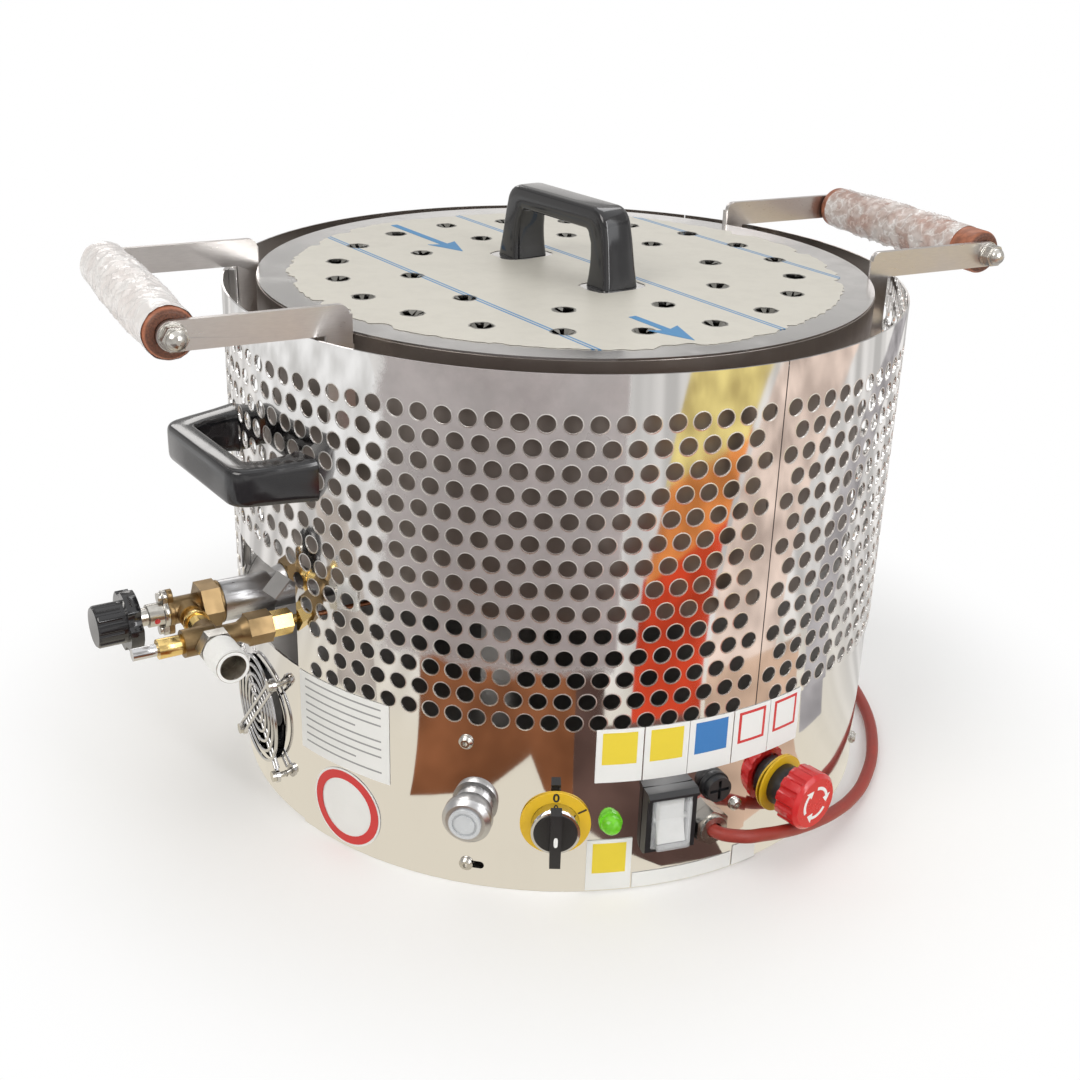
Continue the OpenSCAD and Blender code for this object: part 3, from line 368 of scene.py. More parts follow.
def grip_wood(name, tint):
    """Oiled red wood with long grain, darker at the sawn ends: partly the end grain's own tone, partly
    painted shade.
    """
    r = Recipe(name)
    axis = math.radians(POT_HANDLE_AZ)
    x, y, _ = r.axes()
    sawn_end_and_shade = abs(x * math.cos(axis) + y * math.sin(axis)).rise(GRIP_L / 2 - 0.0022, GRIP_L / 2 - 0.0008)
    along = r.node("ShaderNodeMapping", None,
                   {"Vector": r.place, "Rotation": (0, 0, -axis), "Scale": (0.05, 1, 1)})
    grain = r.cloud(240, 5, 0.65, along)
    rings = r.cloud(60, 3, 0.6, along)
    base = r.mix(grain.rise(0.35, 0.68), tint, shade(tint, 0.5))
    base = r.mix(rings.rise(0.4, 0.75) * 0.6, base, shade(tint, 1.5))
    # The sawn ends are darkened to a fifth to two fifths of the tint: end grain in part, painted shade in
    # part
    ends = r.mix(r.cloud(900, 3, 0.7).rise(0.35, 0.65), shade(tint, 0.42), shade(tint, 0.2))
    return r.paint(Base_Color=r.mix(sawn_end_and_shade, base, ends), Roughness=0.38 + grain * 0.2,
                   Normal=r.bump(grain, 0.35, 0.0003))


def clear_wrap(name, milk, pale):
    """Crumpled clear film with painted highlights: its folds and creases are painted white and opaque. Milk
    says how white it has gone.
    """
    r = Recipe(name)
    fold = r.cloud(60, 4, 0.55)
    crease = abs(r.cloud(95, 3, 0.5) - 0.5).rise(0.0, 0.05, 1, 0)
    # Painted highlight: white, opaque streaks in the folds and creases stand in for glints
    white = fold.rise(0.36, 0.62) * 0.6 + crease * 0.4
    return r.paint(Base_Color=r.mix(white, pale, (0.93, 0.92, 0.91)), Roughness=0.10 + fold * 0.14,
                   Alpha=milk + white * (0.96 - milk), Normal=r.bump(fold + crease * 0.4, 0.35, 0.0010),
                   Specular_IOR_Level=0.7)


def lid_film(name, tint, ink):
    """Pale protective film with pairs of thin diagonal lines, and a painted shadow along its torn edge round
    each hole.
    """
    r = Recipe(name)
    x, y, _ = r.axes()
    across = (x * 0.807 + y * 0.590 + FILM_LINE + FILM_PITCH / 2) % FILM_PITCH - FILM_PITCH / 2
    pair = abs(abs(across) - 0.0014).rise(0.0006, 0.0010, 1, 0)
    dust = r.cloud(50, 5, 0.65)
    fibre = r.cloud(420, 2)
    base = r.mix(dust.rise(0.4, 0.75) * 0.5, tint, shade(tint, 0.88))
    base = r.mix(pair * 0.95, base, ink)
    ragged = (r.cloud(300, 3, 0.7) - 0.5) * 0.004
    for count, ring in LID_RINGS:
        turn = (r.azimuth() * (count / 360) + 0.5) % 1 - 0.5
        side, out = turn * (2 * math.pi / count * ring), r.reach() - ring
        away = (side * side + out * out).root()
        # Painted shadow: the film's ragged edge round each hole is darkened to a tenth of its tint
        painted_hole_shadow = (away + ragged).rise(LID_HOLE + 0.0001, LID_HOLE + 0.0013, 0.85, 0)
        base = r.mix(painted_hole_shadow, base, shade(tint, 0.1))
    ripple = r.cloud(16, 3, 0.5)
    return r.paint(Base_Color=base, Roughness=0.34 + dust * 0.16, Metallic=0.12,
                   Normal=r.bump(ripple + fibre * 0.02, 0.12, 0.002))


def paper(name, tint, rough=0.45):
    """Printed sticker stock."""
    r = Recipe(name)
    fibre = r.cloud(500, 3)
    soil = r.cloud(40, 4, 0.65).rise(0.5, 0.8)
    base = r.mix(soil * 0.10 + fibre * 0.06, tint, shade(tint, 0.72))
    return r.paint(Base_Color=base, Roughness=rough + fibre * 0.12, Normal=r.bump(fibre, 0.15, 0.00008))


def sheath(name, tint):
    """Silicone cord sheath with dust and faint rings."""
    r = Recipe(name)
    dust = r.cloud(70, 4, 0.6)
    skin = r.cloud(600, 2)
    base = r.mix(dust.rise(0.5, 0.8) * 0.3, r.mix(skin * 0.3, tint, shade(tint, 0.7)), shade(tint, 1.8))
    return r.paint(Base_Color=base, Roughness=0.36 + dust * 0.2, Normal=r.bump(skin, 0.25, 0.0001))


def lens(name, tint):
    """Coloured lamp lens with moulded rings."""
    r = Recipe(name)
    facet = r.cells(520)
    glow = r.cloud(160, 3)
    base = r.mix(glow.rise(0.35, 0.7), tint, shade(tint, 1.45))
    return r.paint(Base_Color=base, Roughness=0.10 + facet * 0.1, Normal=r.bump(facet, 0.4, 0.0005),
                   Transmission_Weight=0.35, Emission_Color=r.mix(glow, tint, shade(tint, 1.3)),
                   Emission_Strength=0.14)


def clear_rubber(name):
    """Clear switch boot."""
    r = Recipe(name)
    cloud = r.cloud(90, 3)
    base = r.mix(cloud, (0.86, 0.89, 0.92), (0.95, 0.95, 0.95))
    return r.paint(Base_Color=base, Roughness=0.06 + cloud * 0.08, Alpha=0.16 + cloud * 0.12,
                   Normal=r.bump(cloud, 0.12, 0.0004), Specular_IOR_Level=0.8)


def finishes(tints):
    """All the finishes, by name."""
    return {
        "mirror": polished_steel("polished steel", tints.steel, None),
        "shield": polished_steel("polished steel with film", tints.steel, tints.haze),
        "satin": metal("satin steel", tints.satin, 0.34, (1, 1, 0.1), 120),
        "pot": metal("browned steel", tints.pot, 0.36, (1, 1, 0.1), 120, 0.4),
        "rim": metal("cut edge", (0.86, 0.84, 0.81), 0.30, (1, 1, 1), 500, 0.2),
        "frosted": plastic("frosted button", (0.56, 0.58, 0.60), 0.22, 0.00003, 0.2, 0.6),
        "lid": metal("lid steel", tints.steel, 0.16, (1, 1, 1), 40, 0.15),
        "bar": metal("brushed bar", tints.bar, 0.30, (1, 1, 8), 160, 0.18),
        "zinc": metal("plated steel", (0.62, 0.60, 0.56), 0.24, (1, 1, 1), 300, 0.35),
        "iron": metal("cast iron", (0.06, 0.058, 0.055), 0.62, (1, 1, 1), 400, 0.5, 0.0006),
        "old_brass": metal("dull brass", tints.old_brass, 0.36, (1, 1, 1), 160, 0.75, 0.0002, 0.3),
        "brass": metal("bright brass", tints.brass, 0.20, (1, 1, 1), 260, 0.30, 0.0001, 0.6),
        "aluminium": metal("turned aluminium", (0.60, 0.60, 0.61), 0.30, (1, 1, 6), 220, 0.3),
        "chrome": metal("chrome", (0.66, 0.66, 0.67), 0.10, (1, 1, 1), 90, 0.15),
        "copper": metal("copper", (0.56, 0.24, 0.13), 0.30, (1, 1, 1), 200, 0.6),
        "bakelite": plastic("bakelite", tints.bakelite, 0.13, 0.00004, 0.2, 0.5, 300),
        "black": plastic("black plastic", tints.black, 0.36, 0.00012, 0.4),
        "white": plastic("white plastic", (0.78, 0.78, 0.76), 0.28),
        "yellow": plastic("yellow plate", tints.yellow, 0.38),
        "red": plastic("red plastic", tints.red, 0.24, 0.00005, 0.25, 0.3),
        "green": lens("lamp lens", tints.green),
        "boot": clear_rubber("clear boot"),
        "ceramic": plastic("ceramic", (0.78, 0.75, 0.70), 0.2),
        "grey": plastic("grey paint", (0.14, 0.145, 0.15), 0.45, 0.0002),
        "wood": grip_wood("oiled wood", tints.wood),
        "left_wrap": clear_wrap("milky wrap", 0.93, (0.90, 0.85, 0.83)),
        "right_wrap": clear_wrap("clear wrap", 0.36, (0.90, 0.80, 0.74)),
        "film": lid_film("lid film", tints.film, tints.film_ink),
        "ink": paper("film ink", tints.film_ink, 0.4),
        "paper": paper("white label", (0.80, 0.80, 0.78)),
        "paper_yellow": paper("yellow label", (0.80, 0.62, 0.03)),
        "paper_blue": paper("blue label", (0.03, 0.19, 0.50)),
        "paper_red": paper("red label", (0.62, 0.03, 0.03)),
        "paper_grey": paper("grey label line", (0.30, 0.30, 0.30)),
        "ink_black": paper("black ink", (0.02, 0.02, 0.02), 0.4),
        "ink_white": paper("white ink", (0.82, 0.82, 0.80), 0.4),
        "tape": paper("thread tape", (0.84, 0.84, 0.82), 0.5),
        "sheath": sheath("cord sheath", tints.cord),
    }


FINISH = {}
NODE_FINISH = {
    "satin": "base_plate seam_straps divider_plate frame_posts pot_support drive_shaft stirrer",
    "pot": "pot_shell",
    "mirror": "base_band right_sheet rear_sheet",
    "shield": "front_sheet",
    "lid": "lid_plate",
    "bar": "handle_arms",
    "zinc": "tap_collar gas_nipple cable_gland case_screws fan_screws tap_stem handle_rods",
    "iron": "burner_ring",
    "old_brass": "jet_nut gas_tap_body valve_body",
    "brass": "valve_fittings",
    "aluminium": "venturi_tube piezo_collar air_shutter gearbox",
    "frosted": "piezo_button",
    "chrome": "selector_bezel fan_guard valve_pin",
    "copper": "thermo_lead",
    "bakelite": "gas_knob lid_handle side_handles",
    "black": "rocker_frame fuse_holder estop_bezel fan_frame fan_rotor selector_knob estop_stem cord_plug",
    "white": "rocker",
    "yellow": "selector_plate estop_plate",
    "red": "estop_head",
    "green": "pilot_lamp",
    "boot": "rocker_boot",
    "ceramic": "spark_electrode",
    "grey": "control_box motor",
    "wood": "grip_left grip_right",
    "sheath": "power_cord cord_coil",
}
# Nodes whose edges are eased, by the width in metres
EASED = {
    0.0003: "case_screws",
    0.0004: "valve_fittings tap_collar",
    0.0005: "piezo_button air_shutter gas_nipple",
    0.0006: "cable_gland handle_rods jet_nut valve_body gas_tap_body valve_pin",
    0.0008: "rocker handle_arms piezo_collar fuse_holder selector_bezel",
    0.0010: "gas_knob grip_left grip_right estop_bezel fan_frame",
    0.0012: "selector_knob rocker_frame",
    0.0015: "rocker_boot estop_head",
}


# Geometry helpers

def circle(count):
    """Cosine and sine of equal steps round a circle."""
    return [(math.cos(2 * math.pi * k / count), math.sin(2 * math.pi * k / count)) for k in range(count)]


def swell(value, power):
    """A power that keeps the value's sign."""
    return math.copysign(abs(value) ** power, value)


def spoke(r, angle):
    """The flat point at a radius and an angle in degrees."""
    return r * math.cos(math.radians(angle)), r * math.sin(math.radians(angle))


def arc(r, a0, a1, steps):
    """Flat points on an arc, angles in degrees."""
    return [spoke(r, a0 + (a1 - a0) * i / steps) for i in range(steps + 1)]


def put(name, data):
    """A new object in the scene."""
    made = bpy.data.objects.new(name, data)
    bpy.context.scene.collection.objects.link(made)
    return made


def polar(az, r, z):
    """A point at an azimuth, counted from the front towards the viewer's right."""
    a = math.radians(az)
    return Vector((r * math.sin(a), -r * math.cos(a), z))


def outward(az, r, z):
    """A frame on the drum: x to the viewer's right, y up, z outward."""
    a = math.radians(az)
    m = Matrix(((math.cos(a), 0, math.sin(a)), (math.sin(a), 0, -math.cos(a)), (0, 1, 0))).to_4x4()
    m.translation = polar(az, r, z)
    return m


def on_gas(off, r):
    """The frame on the gas tap's axis, at a distance from the drum's axis."""
    m = outward(GAS_AZ, r, GAS_Z)
    m.translation += m.col[0].xyz * off
    return m


def piece(name, points, faces, finish, body, slot, smooth=40.0, marks=None):
    """A mesh object that rides on a body. marks gives each face's finish where there are several."""
    mesh = bpy.data.meshes.new(name)
    mesh.from_pydata([tuple(p) for p in points], [], faces)
    for f in [finish] if isinstance(finish, str) else finish:
        mesh.materials.append(FINISH[f])
    if marks:
        mesh.polygons.foreach_set("material_index", marks)
    mesh.validate()
    b = bmesh.new()
    b.from_mesh(mesh)
    bmesh.ops.recalc_face_normals(b, faces=b.faces)
    b.to_mesh(mesh)
    b.free()
    if smooth:
        mesh.shade_smooth()
        mesh.set_sharp_from_angle(angle=math.radians(smooth))
    made = put(name, mesh)
    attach(made, body)
    return made


def loft(rings, closed=False):
    """Points and faces of a skin over rings of points, capped unless it closes on itself."""
    n = len(rings[0])
    points = [p for ring in rings for p in ring]
    last = len(rings) if closed else len(rings) - 1
    faces = []
    for i in range(last):
        j = (i + 1) % len(rings)
        faces += [(i * n + k, i * n + (k + 1) % n, j * n + (k + 1) % n, j * n + k) for k in range(n)]
    if not closed:
        faces += [tuple(range(n - 1, -1, -1)), tuple((len(rings) - 1) * n + k for k in range(n))]
    return points, faces


def turned(profile, frame_at, segments=40):
    """Rings of a turned shape: profile holds (radius, height) along the frame's z."""
    return [[frame_at @ Vector((r * c, r * s, h)) for c, s in circle(segments)] for r, h in profile]


def drum_patch(az0, az1, z0, z1, r, thick, steps=10):
    """A thin closed patch that follows the drum."""
    rings = []
    for i in range(steps + 1):
        az = az0 + (az1 - az0) * i / steps
        rings.append([polar(az, r, z0), polar(az, r + thick, z0), polar(az, r + thick, z1), polar(az, r, z1)])
    return loft(rings)


def joined(name, parts, finish, body, slot, smooth=0):
    """One piece made of several (points, faces, mark)."""
    points, faces, marks = [], [], []
    for p, f, mark in parts:
        faces += [tuple(i + len(points) for i in face) for face in f]
        marks += [mark] * len(f)
        points += p
    return piece(name, points, faces, finish, body, slot, smooth, marks)


def plate(outline, frame_at, h0, h1):
    """A flat plate over an outline of (x, y), between two heights."""
    return loft([[frame_at @ Vector((x, y, h)) for x, y in outline] for h in (h0, h1)])


# Operators

class ROASTER_OT_finishes(Operator):
    """Give every CAD node its finish and ease the edges that show"""

    bl_idname = "roaster.finishes"
    bl_label = "Finishes"

    def execute(self, context):
        FINISH.update(finishes(context.scene.roaster_colours))
        for finish, nodes in NODE_FINISH.items():
            for name in nodes.split():
                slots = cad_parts[name].data.materials
                slots.clear()
                slots.append(FINISH[finish])
        for width, names in EASED.items():
            for name in names.split():
                self.ease(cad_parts[name], width)
        return {"FINISHED"}

    @staticmethod
    def ease(node, width):
        """Rounds a node's sharp edges."""
        weld = node.modifiers.new("weld", "WELD")
        weld.merge_threshold = 0.00001
        ease = node.modifiers.new("ease", "BEVEL")
        ease.width = width
        ease.segments = 2
        ease.limit_method = "ANGLE"
        ease.angle_limit = math.radians(38)
        ease.harden_normals = True


class ROASTER_OT_shield(Operator):
    """Skin the perforated sheets with true cylinders, so that they mirror smoothly"""

    bl_idname = "roaster.shield"
    bl_label = "Shield"

    def execute(self, context):
        for name in ("front_sheet", "right_sheet", "rear_sheet"):
            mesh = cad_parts[name].data.copy()
            middle = SHIELD_R - SHEET_T / 2
            for v in mesh.vertices:
                rho = math.hypot(v.co.x, v.co.y)
                if abs(rho - middle) < SHEET_T:
                    true = SHIELD_R if rho > middle else SHIELD_R - SHEET_T
                    v.co.x *= true / rho
                    v.co.y *= true / rho
            mesh.shade_smooth()
            normals = [Vector((0, 0, 1))] * len(mesh.loops)
            for face in mesh.polygons:
                out = Vector((face.center.x, face.center.y, 0)).normalized()
                lean = face.normal.dot(out)
                for i in face.loop_indices:
                    at = mesh.vertices[mesh.loops[i].vertex_index].co
                    radial = Vector((at.x, at.y, 0)).normalized()
                    normals[i] = radial * math.copysign(1, lean) if abs(lean) > 0.9 else face.normal.copy()
            mesh.normals_split_custom_set(normals)
            mesh.materials.append(FINISH["satin"])
            for face in mesh.polygons:
                if math.hypot(face.center.x, face.center.y) > SHIELD_R + BEND_FROM:
                    face.material_index = len(mesh.materials) - 1
            skin = put(name.replace("sheet", "shield"), mesh)
            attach(skin, "base")
            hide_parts(name)
            self.rims(name.replace("sheet", "rims"), mesh)
        return {"FINISHED"}

    @staticmethod
    def holes(mesh):
        """Middle and radius of each punched hole, from the edges where the outer face meets a hole's wall."""
        b = bmesh.new()
        b.from_mesh(mesh)
        bmesh.ops.remove_doubles(b, verts=b.verts, dist=0.00001)
        beside = {}
        for edge in b.edges:
            leans = []
            for face in edge.link_faces:
                at = face.calc_center_median()
                lean = face.normal.dot(Vector((at.x, at.y, 0)).normalized())
                leans.append(lean if math.hypot(at.x, at.y) > SHIELD_R - SHEET_T else 0)
            if len(leans) == 2 and max(leans) > 0.9 and abs(min(leans)) < 0.5:
                u, v = (w.index for w in edge.verts)
                beside.setdefault(u, []).append(v)
                beside.setdefault(v, []).append(u)
        b.verts.ensure_lookup_table()
        found, done = [], set()
        for first in sorted(beside):
            todo, loop = [first], []
            while todo:
                i = todo.pop()
                if i not in done:
                    done.add(i)
                    loop.append(b.verts[i].co.copy())
                    todo += beside[i]
            if len(loop) < 8:
                continue
            middle = sum(loop, Vector()) / len(loop)
            radius = sum((p - middle).length for p in loop) / len(loop)
            if radius < HOLE_MOST and middle.z > PUNCHED_FROM:
                found.append((middle, radius))
        b.free()
        return found

    def rims(self, name, mesh):
        """The bright edge that the punch leaves round each hole."""
        parts = []
        for middle, radius in self.holes(mesh):
            at = outward(math.degrees(math.atan2(middle.x, -middle.y)), SHIELD_R, middle.z)
            rings = []
            for c, s in circle(RIM_STEPS):
                ring = []
                for wide, lift in RIM:
                    x = (radius + wide) * c
                    fall = math.sqrt(SHIELD_R ** 2 - x ** 2) - SHIELD_R
                    ring.append(at @ Vector((x, (radius + wide) * s, fall + lift)))
                rings.append(ring)
            parts.append((*loft(rings, closed=True), 0))
        joined(name, parts, "rim", "base", "mirror_steel", 50)


class ROASTER_OT_lid_film(Operator):
    """Lay the torn protective film on the lid"""

    bl_idname = "roaster.lid_film"
    bl_label = "Lid film"

    def execute(self, context):
        sizes = context.scene.roaster_sizes
        luck = random.Random(7)
        loops = [self.torn_edge(sizes.film_r)]
        for count, ring in LID_RINGS:
            for i in range(count):
                loops.append(self.torn_hole(polar(360 / count * i, ring, 0), luck))
        for side in (-1, 1):
            loops.append(self.foot_window(side, luck))
        b = bmesh.new()
        edges = []
        for loop in loops:
            verts = [b.verts.new((*p, FILM_Z)) for p in loop]
            edges += [b.edges.new((verts[i - 1], verts[i])) for i in range(len(verts))]
        bmesh.ops.triangle_fill(b, use_beauty=True, use_dissolve=False, edges=edges)
        for count, ring in LID_RINGS:
            for i in range(count):
                self.flaps(b, polar(360 / count * i, ring, FILM_Z), luck)
        mesh = bpy.data.meshes.new("lid_film")
        b.to_mesh(mesh)
        b.free()
        mesh.materials.append(FINISH["film"])
        film = put("lid_film", mesh)
        thick = film.modifiers.new("thickness", "SOLIDIFY")
        thick.thickness = sizes.film_t
        thick.offset = 1
        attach(film, "lid")
        self.arrows()
        return {"FINISHED"}

    @staticmethod
    def torn_edge(radius):
        """The film's ragged outer edge."""
        loop = []
        for c, s in circle(420):
            slow = noise.noise(Vector((c * 1.6, s * 1.6, 3.0))) * 0.006
            quick = noise.noise(Vector((c * 34, s * 34, 9.0))) * 0.0028
            tear = max(0.0, noise.noise(Vector((c * 9, s * 9, 5.0))) - 0.18) * 0.022
            r = radius + slow + quick - tear
            loop.append((r * c, r * s))
        return loop

    @staticmethod
    def torn_hole(centre, luck):
        """The ragged edge of the film round a hole."""
        loop = []
        for c, s in circle(22):
            r = LID_HOLE * luck.uniform(0.84, 1.04)
            loop.append((centre.x + r * c, centre.y + r * s))
        return loop

    @staticmethod
    def flaps(b, centre, luck):
        """Pointed flaps of film that hang from a hole's edge."""
        turn = luck.uniform(0, 360)
        for _ in range(luck.choice((3, 4, 5))):
            turn += luck.uniform(50, 100)
            wide = luck.uniform(14, 26)
            edge = LID_HOLE * 0.98
            corners = [(edge, turn - wide, 0.0), (edge, turn + wide, 0.0)]
            reach, bend = LID_HOLE * luck.uniform(0.15, 0.55), luck.uniform(-15, 15)
            corners.append((reach, turn + bend, -luck.uniform(0.001, 0.005)))
            b.faces.new([b.verts.new(centre + polar(a, r, drop)) for r, a, drop in corners])

    @staticmethod
    def foot_window(side, luck):
        """The piece of film cut away round a foot of the lid's handle."""
        along = polar(LID_HANDLE_AZ, 1, 0)
        across = Vector((-along.y, along.x, 0))
        centre = along * side * (BRIDGE_L / 2 - 0.009)
        half_l, half_w = 0.0155, 0.0215
        loop = []
        for c, s in circle(36):
            u = swell(c, 0.5) * half_l + luck.uniform(-0.0006, 0.0006)
            v = swell(s, 0.5) * half_w + luck.uniform(-0.0008, 0.0008)
            p = centre + along * u + across * v
            loop.append((p.x, p.y))
        return loop

    @staticmethod
    def arrows():
        """Plain arrows printed on the film."""
        parts = []
        head, barb, half = 0.030, 0.0115, 0.0028
        turn = Matrix.Rotation(math.radians(FILM_TURN), 4, "Z")
        for x, y, tail in ((-0.0745, 0.0430, 0.100), (0.0780, -0.1680, 0.060)):
            right = [(-tail, -half), (-0.026, -half), (-head, -barb)]
            left = [(a, -b) for a, b in reversed(right)]
            at = Matrix.Translation((x, y, FILM_Z + 0.0001)) @ turn
            parts.append((*plate(right + [(0, 0)] + left, at, 0.0001, 0.00030), 0))
        joined("film_arrows", parts, "ink", "lid", "film_steel")


class ROASTER_OT_handles(Operator):
    """Shape the moulded bridge handles"""

    bl_idname = "roaster.handles"
    bl_label = "Bridge handles"

    def execute(self, context):
        lid = Matrix.Translation((0, 0, LID_TOP)) @ Matrix.Rotation(math.radians(LID_HANDLE_AZ - 90), 4, "Z")
        self.bridge("lid_bridge", "lid_handle", "lid", lid, lambda x: 0.0001)
        for name, az in (("left_bridge", SIDE_HANDLE[0]), ("right_bridge", SIDE_HANDLE[0] + 180)):
            self.bridge(name, "side_handles", "base", outward(az, SIDE_SEAT, SIDE_HANDLE[1]),
                        lambda x: math.sqrt(SHIELD_R ** 2 - x ** 2) - SIDE_SEAT + 0.0002)
        return {"FINISHED"}

    def bridge(self, name, node, body, at, seat):
        """A bridge handle in place of a node; seat gives the height of what it stands on."""
        handle = piece(name, *loft(self.rings(seat, at)), "bakelite", body, "bakelite", 50)
        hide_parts(node)

    @staticmethod
    def rings(seat, at):
        """Sections of a bridge from foot to foot: inner and outer lines with a D-shaped skin between."""
        x0, x1 = BRIDGE_L / 2, BRIDGE_L / 2 - 0.005
        outer = [(x0 + past, h) for past, h in LEG_OUTER]
        inner = [(x0 + past, h) for past, h in LEG_INNER]
        for i in range(7):
            t = math.radians(8 + 82 * i / 6)
            outer.append((x1 - 0.014 + 0.014 * math.cos(t), BRIDGE_H - 0.014 + 0.014 * math.sin(t)))
            inner.append((x1 - 0.0225 + 0.004 * math.cos(t), BRIDGE_H - 0.020 + 0.004 * math.sin(t)))
        outer.append((0.016, BRIDGE_H))
        inner.append((0.014, BRIDGE_H - 0.016))
        outer = outer + [(-x, h) for x, h in reversed(outer)]
        inner = inner + [(-x, h) for x, h in reversed(inner)]
        rings = []
        for (ox, oh), (ix, ih) in zip(outer, inner):
            rise = min(1.0, (oh + ih) / 2 / (BRIDGE_H * 0.8))
            half = BRIDGE_W / 2 * (1.02 + 0.20 * (1 - rise) ** 2)
            ring = []
            for c, s in circle(36):
                d = 0.5 + 0.5 * swell(c, 0.40 if c > 0 else 0.28)
                y = half * swell(s, 0.36)
                x, h = ix + (ox - ix) * d, ih + (oh - ih) * d
                ring.append(at @ Vector((x, y, seat(x) if oh == 0 else h)))
            rings.append(ring)
        return rings


class ROASTER_OT_wraps(Operator):
    """Wrap the wooden grips in crumpled clear film"""

    bl_idname = "roaster.wraps"
    bl_label = "Grip wraps"

    def execute(self, context):
        gap = context.scene.roaster_sizes.wrap_gap
        for name, turn, ends in WRAPS:
            at = outward(POT_HANDLE_AZ + turn, GRIP_X, GRIP_Z) @ Matrix.Rotation(math.pi / 2, 4, "Y")
            rings = []
            steps, around = 150, 72
            for i in range(steps + 1):
                along = ends[0] + (ends[1] - ends[0]) * i / steps
                loose = 0.25 + 0.75 * max(0.0, 1 - (abs(along) / 0.062) ** 4)
                ring = []
                for k, (c, s) in enumerate(circle(around)):
                    seed = Vector((c * 1.5, s * 1.5, along * 95 + 2 * math.pi * k / around * 0.8 + turn))
                    ridge = (1 - min(1.0, abs(noise.noise(seed)) * 2.4)) ** 2
                    crumple = ridge * 0.0019 + abs(noise.noise(seed * 2.9)) * 0.0009
                    r = GRIP_R + gap + crumple * loose
                    ring.append(at @ Vector((r * c, r * s, along)))
                rings.append(ring)
            points, faces = loft(rings)
            piece(name + "_wrap", points, faces[:-2], name + "_wrap", name + "_grip", "wood", 60)
        return {"FINISHED"}


class ROASTER_OT_gas_details(Operator):
    """Add the inlet's taped thread, the knob's marks and the tap's dot"""

    bl_idname = "roaster.gas_details"
    bl_label = "Gas details"

    def execute(self, context):
        self.inlet_tape()
        knob = on_gas(0, KNOB_0)
        bar = [(0.0152, -0.0011), (0.0196, -0.0011), (0.0196, 0.0011), (0.0152, 0.0011)]
        parts = []
        for angle in (65, 245):
            turn = Matrix.Rotation(math.radians(angle), 4, "Z")
            parts.append((*plate(bar, knob @ turn, 0.0084, 0.00868), 0))
        joined("knob_marks", parts, "ink_white", "tap", "bakelite")
        dot = on_gas(0, COLLAR_0 + 0.0052) @ Matrix.Rotation(math.radians(-12), 4, "Z")
        dot = dot @ Matrix.Translation((0.0077, 0, 0)) @ Matrix.Rotation(math.pi / 2, 4, "Y")
        cap = [(0.0001, -0.0004), (0.0019, -0.0004), (0.0019, 0.0002), (0.0001, 0.0004)]
        piece("tap_dot", *loft(turned(cap, dot, 20)), "red", "base", "red_plastic")
        return {"FINISHED"}

    @staticmethod
    def inlet_tape():
        """White tape wound on the inlet's thread, turned in over its end."""
        at = on_gas(INLET_0, BRANCH_X) @ Matrix.Rotation(math.pi / 2, 4, "Y")
        pitch, around, turns, steps = 0.001814, 40, 12, 8
        rings = []
        for i in range(turns * steps + 1):
            h = 0.0012 + pitch * i / steps
            ring = []
            for k, (c, s) in enumerate(circle(around)):
                ridge = 0.5 + 0.5 * math.cos(2 * math.pi * (i / steps - k / around))
                fuzz = noise.noise(Vector((c * 4, s * 4, h * 900))) * 0.00025
                r = INLET_R + 0.00015 + ridge * 0.00055 + fuzz
                ring.append(at @ Vector((r * c, r * s, h)))
            rings.append(ring)
        lip = ((0.0002, 0.0002), (0.0010, 0.00035), (0.0021, 0.0002))
        rings += turned([(INLET_R - inset, INLET_L + past) for inset, past in lip], at, around)
        points, faces = loft(rings)
        piece("inlet_tape", points, faces[:-2], "tape", "base", "zinc_steel", 60)


class ROASTER_OT_switch_marks(Operator):
    """Mark the selector, its lever and the stop button"""

    bl_idname = "roaster.switch_marks"
    bl_label = "Switch marks"

    def execute(self, context):
        face = outward(SELECTOR[0], FACE_R, SELECTOR[1])
        for text, turn in (("0", 90), ("1", 30)):
            spot = face @ Matrix.Translation((*spoke(0.0189, turn), 0.00152))
            self.numeral("dial_" + text, text, spot @ Matrix.Rotation(math.radians(turn - 90), 4, "Z"))
        lever = plate([(0.0013 * c, 0.0036 * swell(s, 0.5)) for c, s in circle(24)], face, 0.02195, 0.02225)
        piece("lever_mark", *lever, "ink_white", "selector", "black_plastic", 0)
        head = outward(ESTOP[0], BAND_FACE, ESTOP[1])
        bow = arc(0.0118, 12, 86, 12) + list(reversed(arc(0.0096, 12, 86, 12)))
        tip = [spoke(0.0142, 14), spoke(0.0072, 14), spoke(0.0107, -14)]
        parts = []
        for turn in (0, 120, 240):
            spin = head @ Matrix.Rotation(math.radians(turn), 4, "Z")
            for shape in (bow, tip):
                parts.append((*plate(shape, spin, ESTOP_TOP - 0.0001, ESTOP_TOP + 0.0002), 0))
        joined("stop_arrows", parts, "ink_white", "stop_head", "red_plastic")
        return {"FINISHED"}

    @staticmethod
    def numeral(name, text, at):
        """A dial numeral as a thin mesh."""
        curve = bpy.data.curves.new(name + "_line", "FONT")
        curve.body = text
        curve.size = 0.0085
        curve.align_x = "CENTER"
        curve.align_y = "CENTER"
        curve.extrude = 0.00012
        curve.offset = 0.0002
        holder = put(name + "_line", curve)
        bpy.context.view_layer.update()
        mesh = bpy.data.meshes.new_from_object(holder.evaluated_get(bpy.context.evaluated_depsgraph_get()))
        bpy.data.objects.remove(holder)
        mesh.transform(at)
        mesh.materials.clear()
        mesh.materials.append(FINISH["ink_black"])
        mark = put(name, mesh)
        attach(mark, "base")


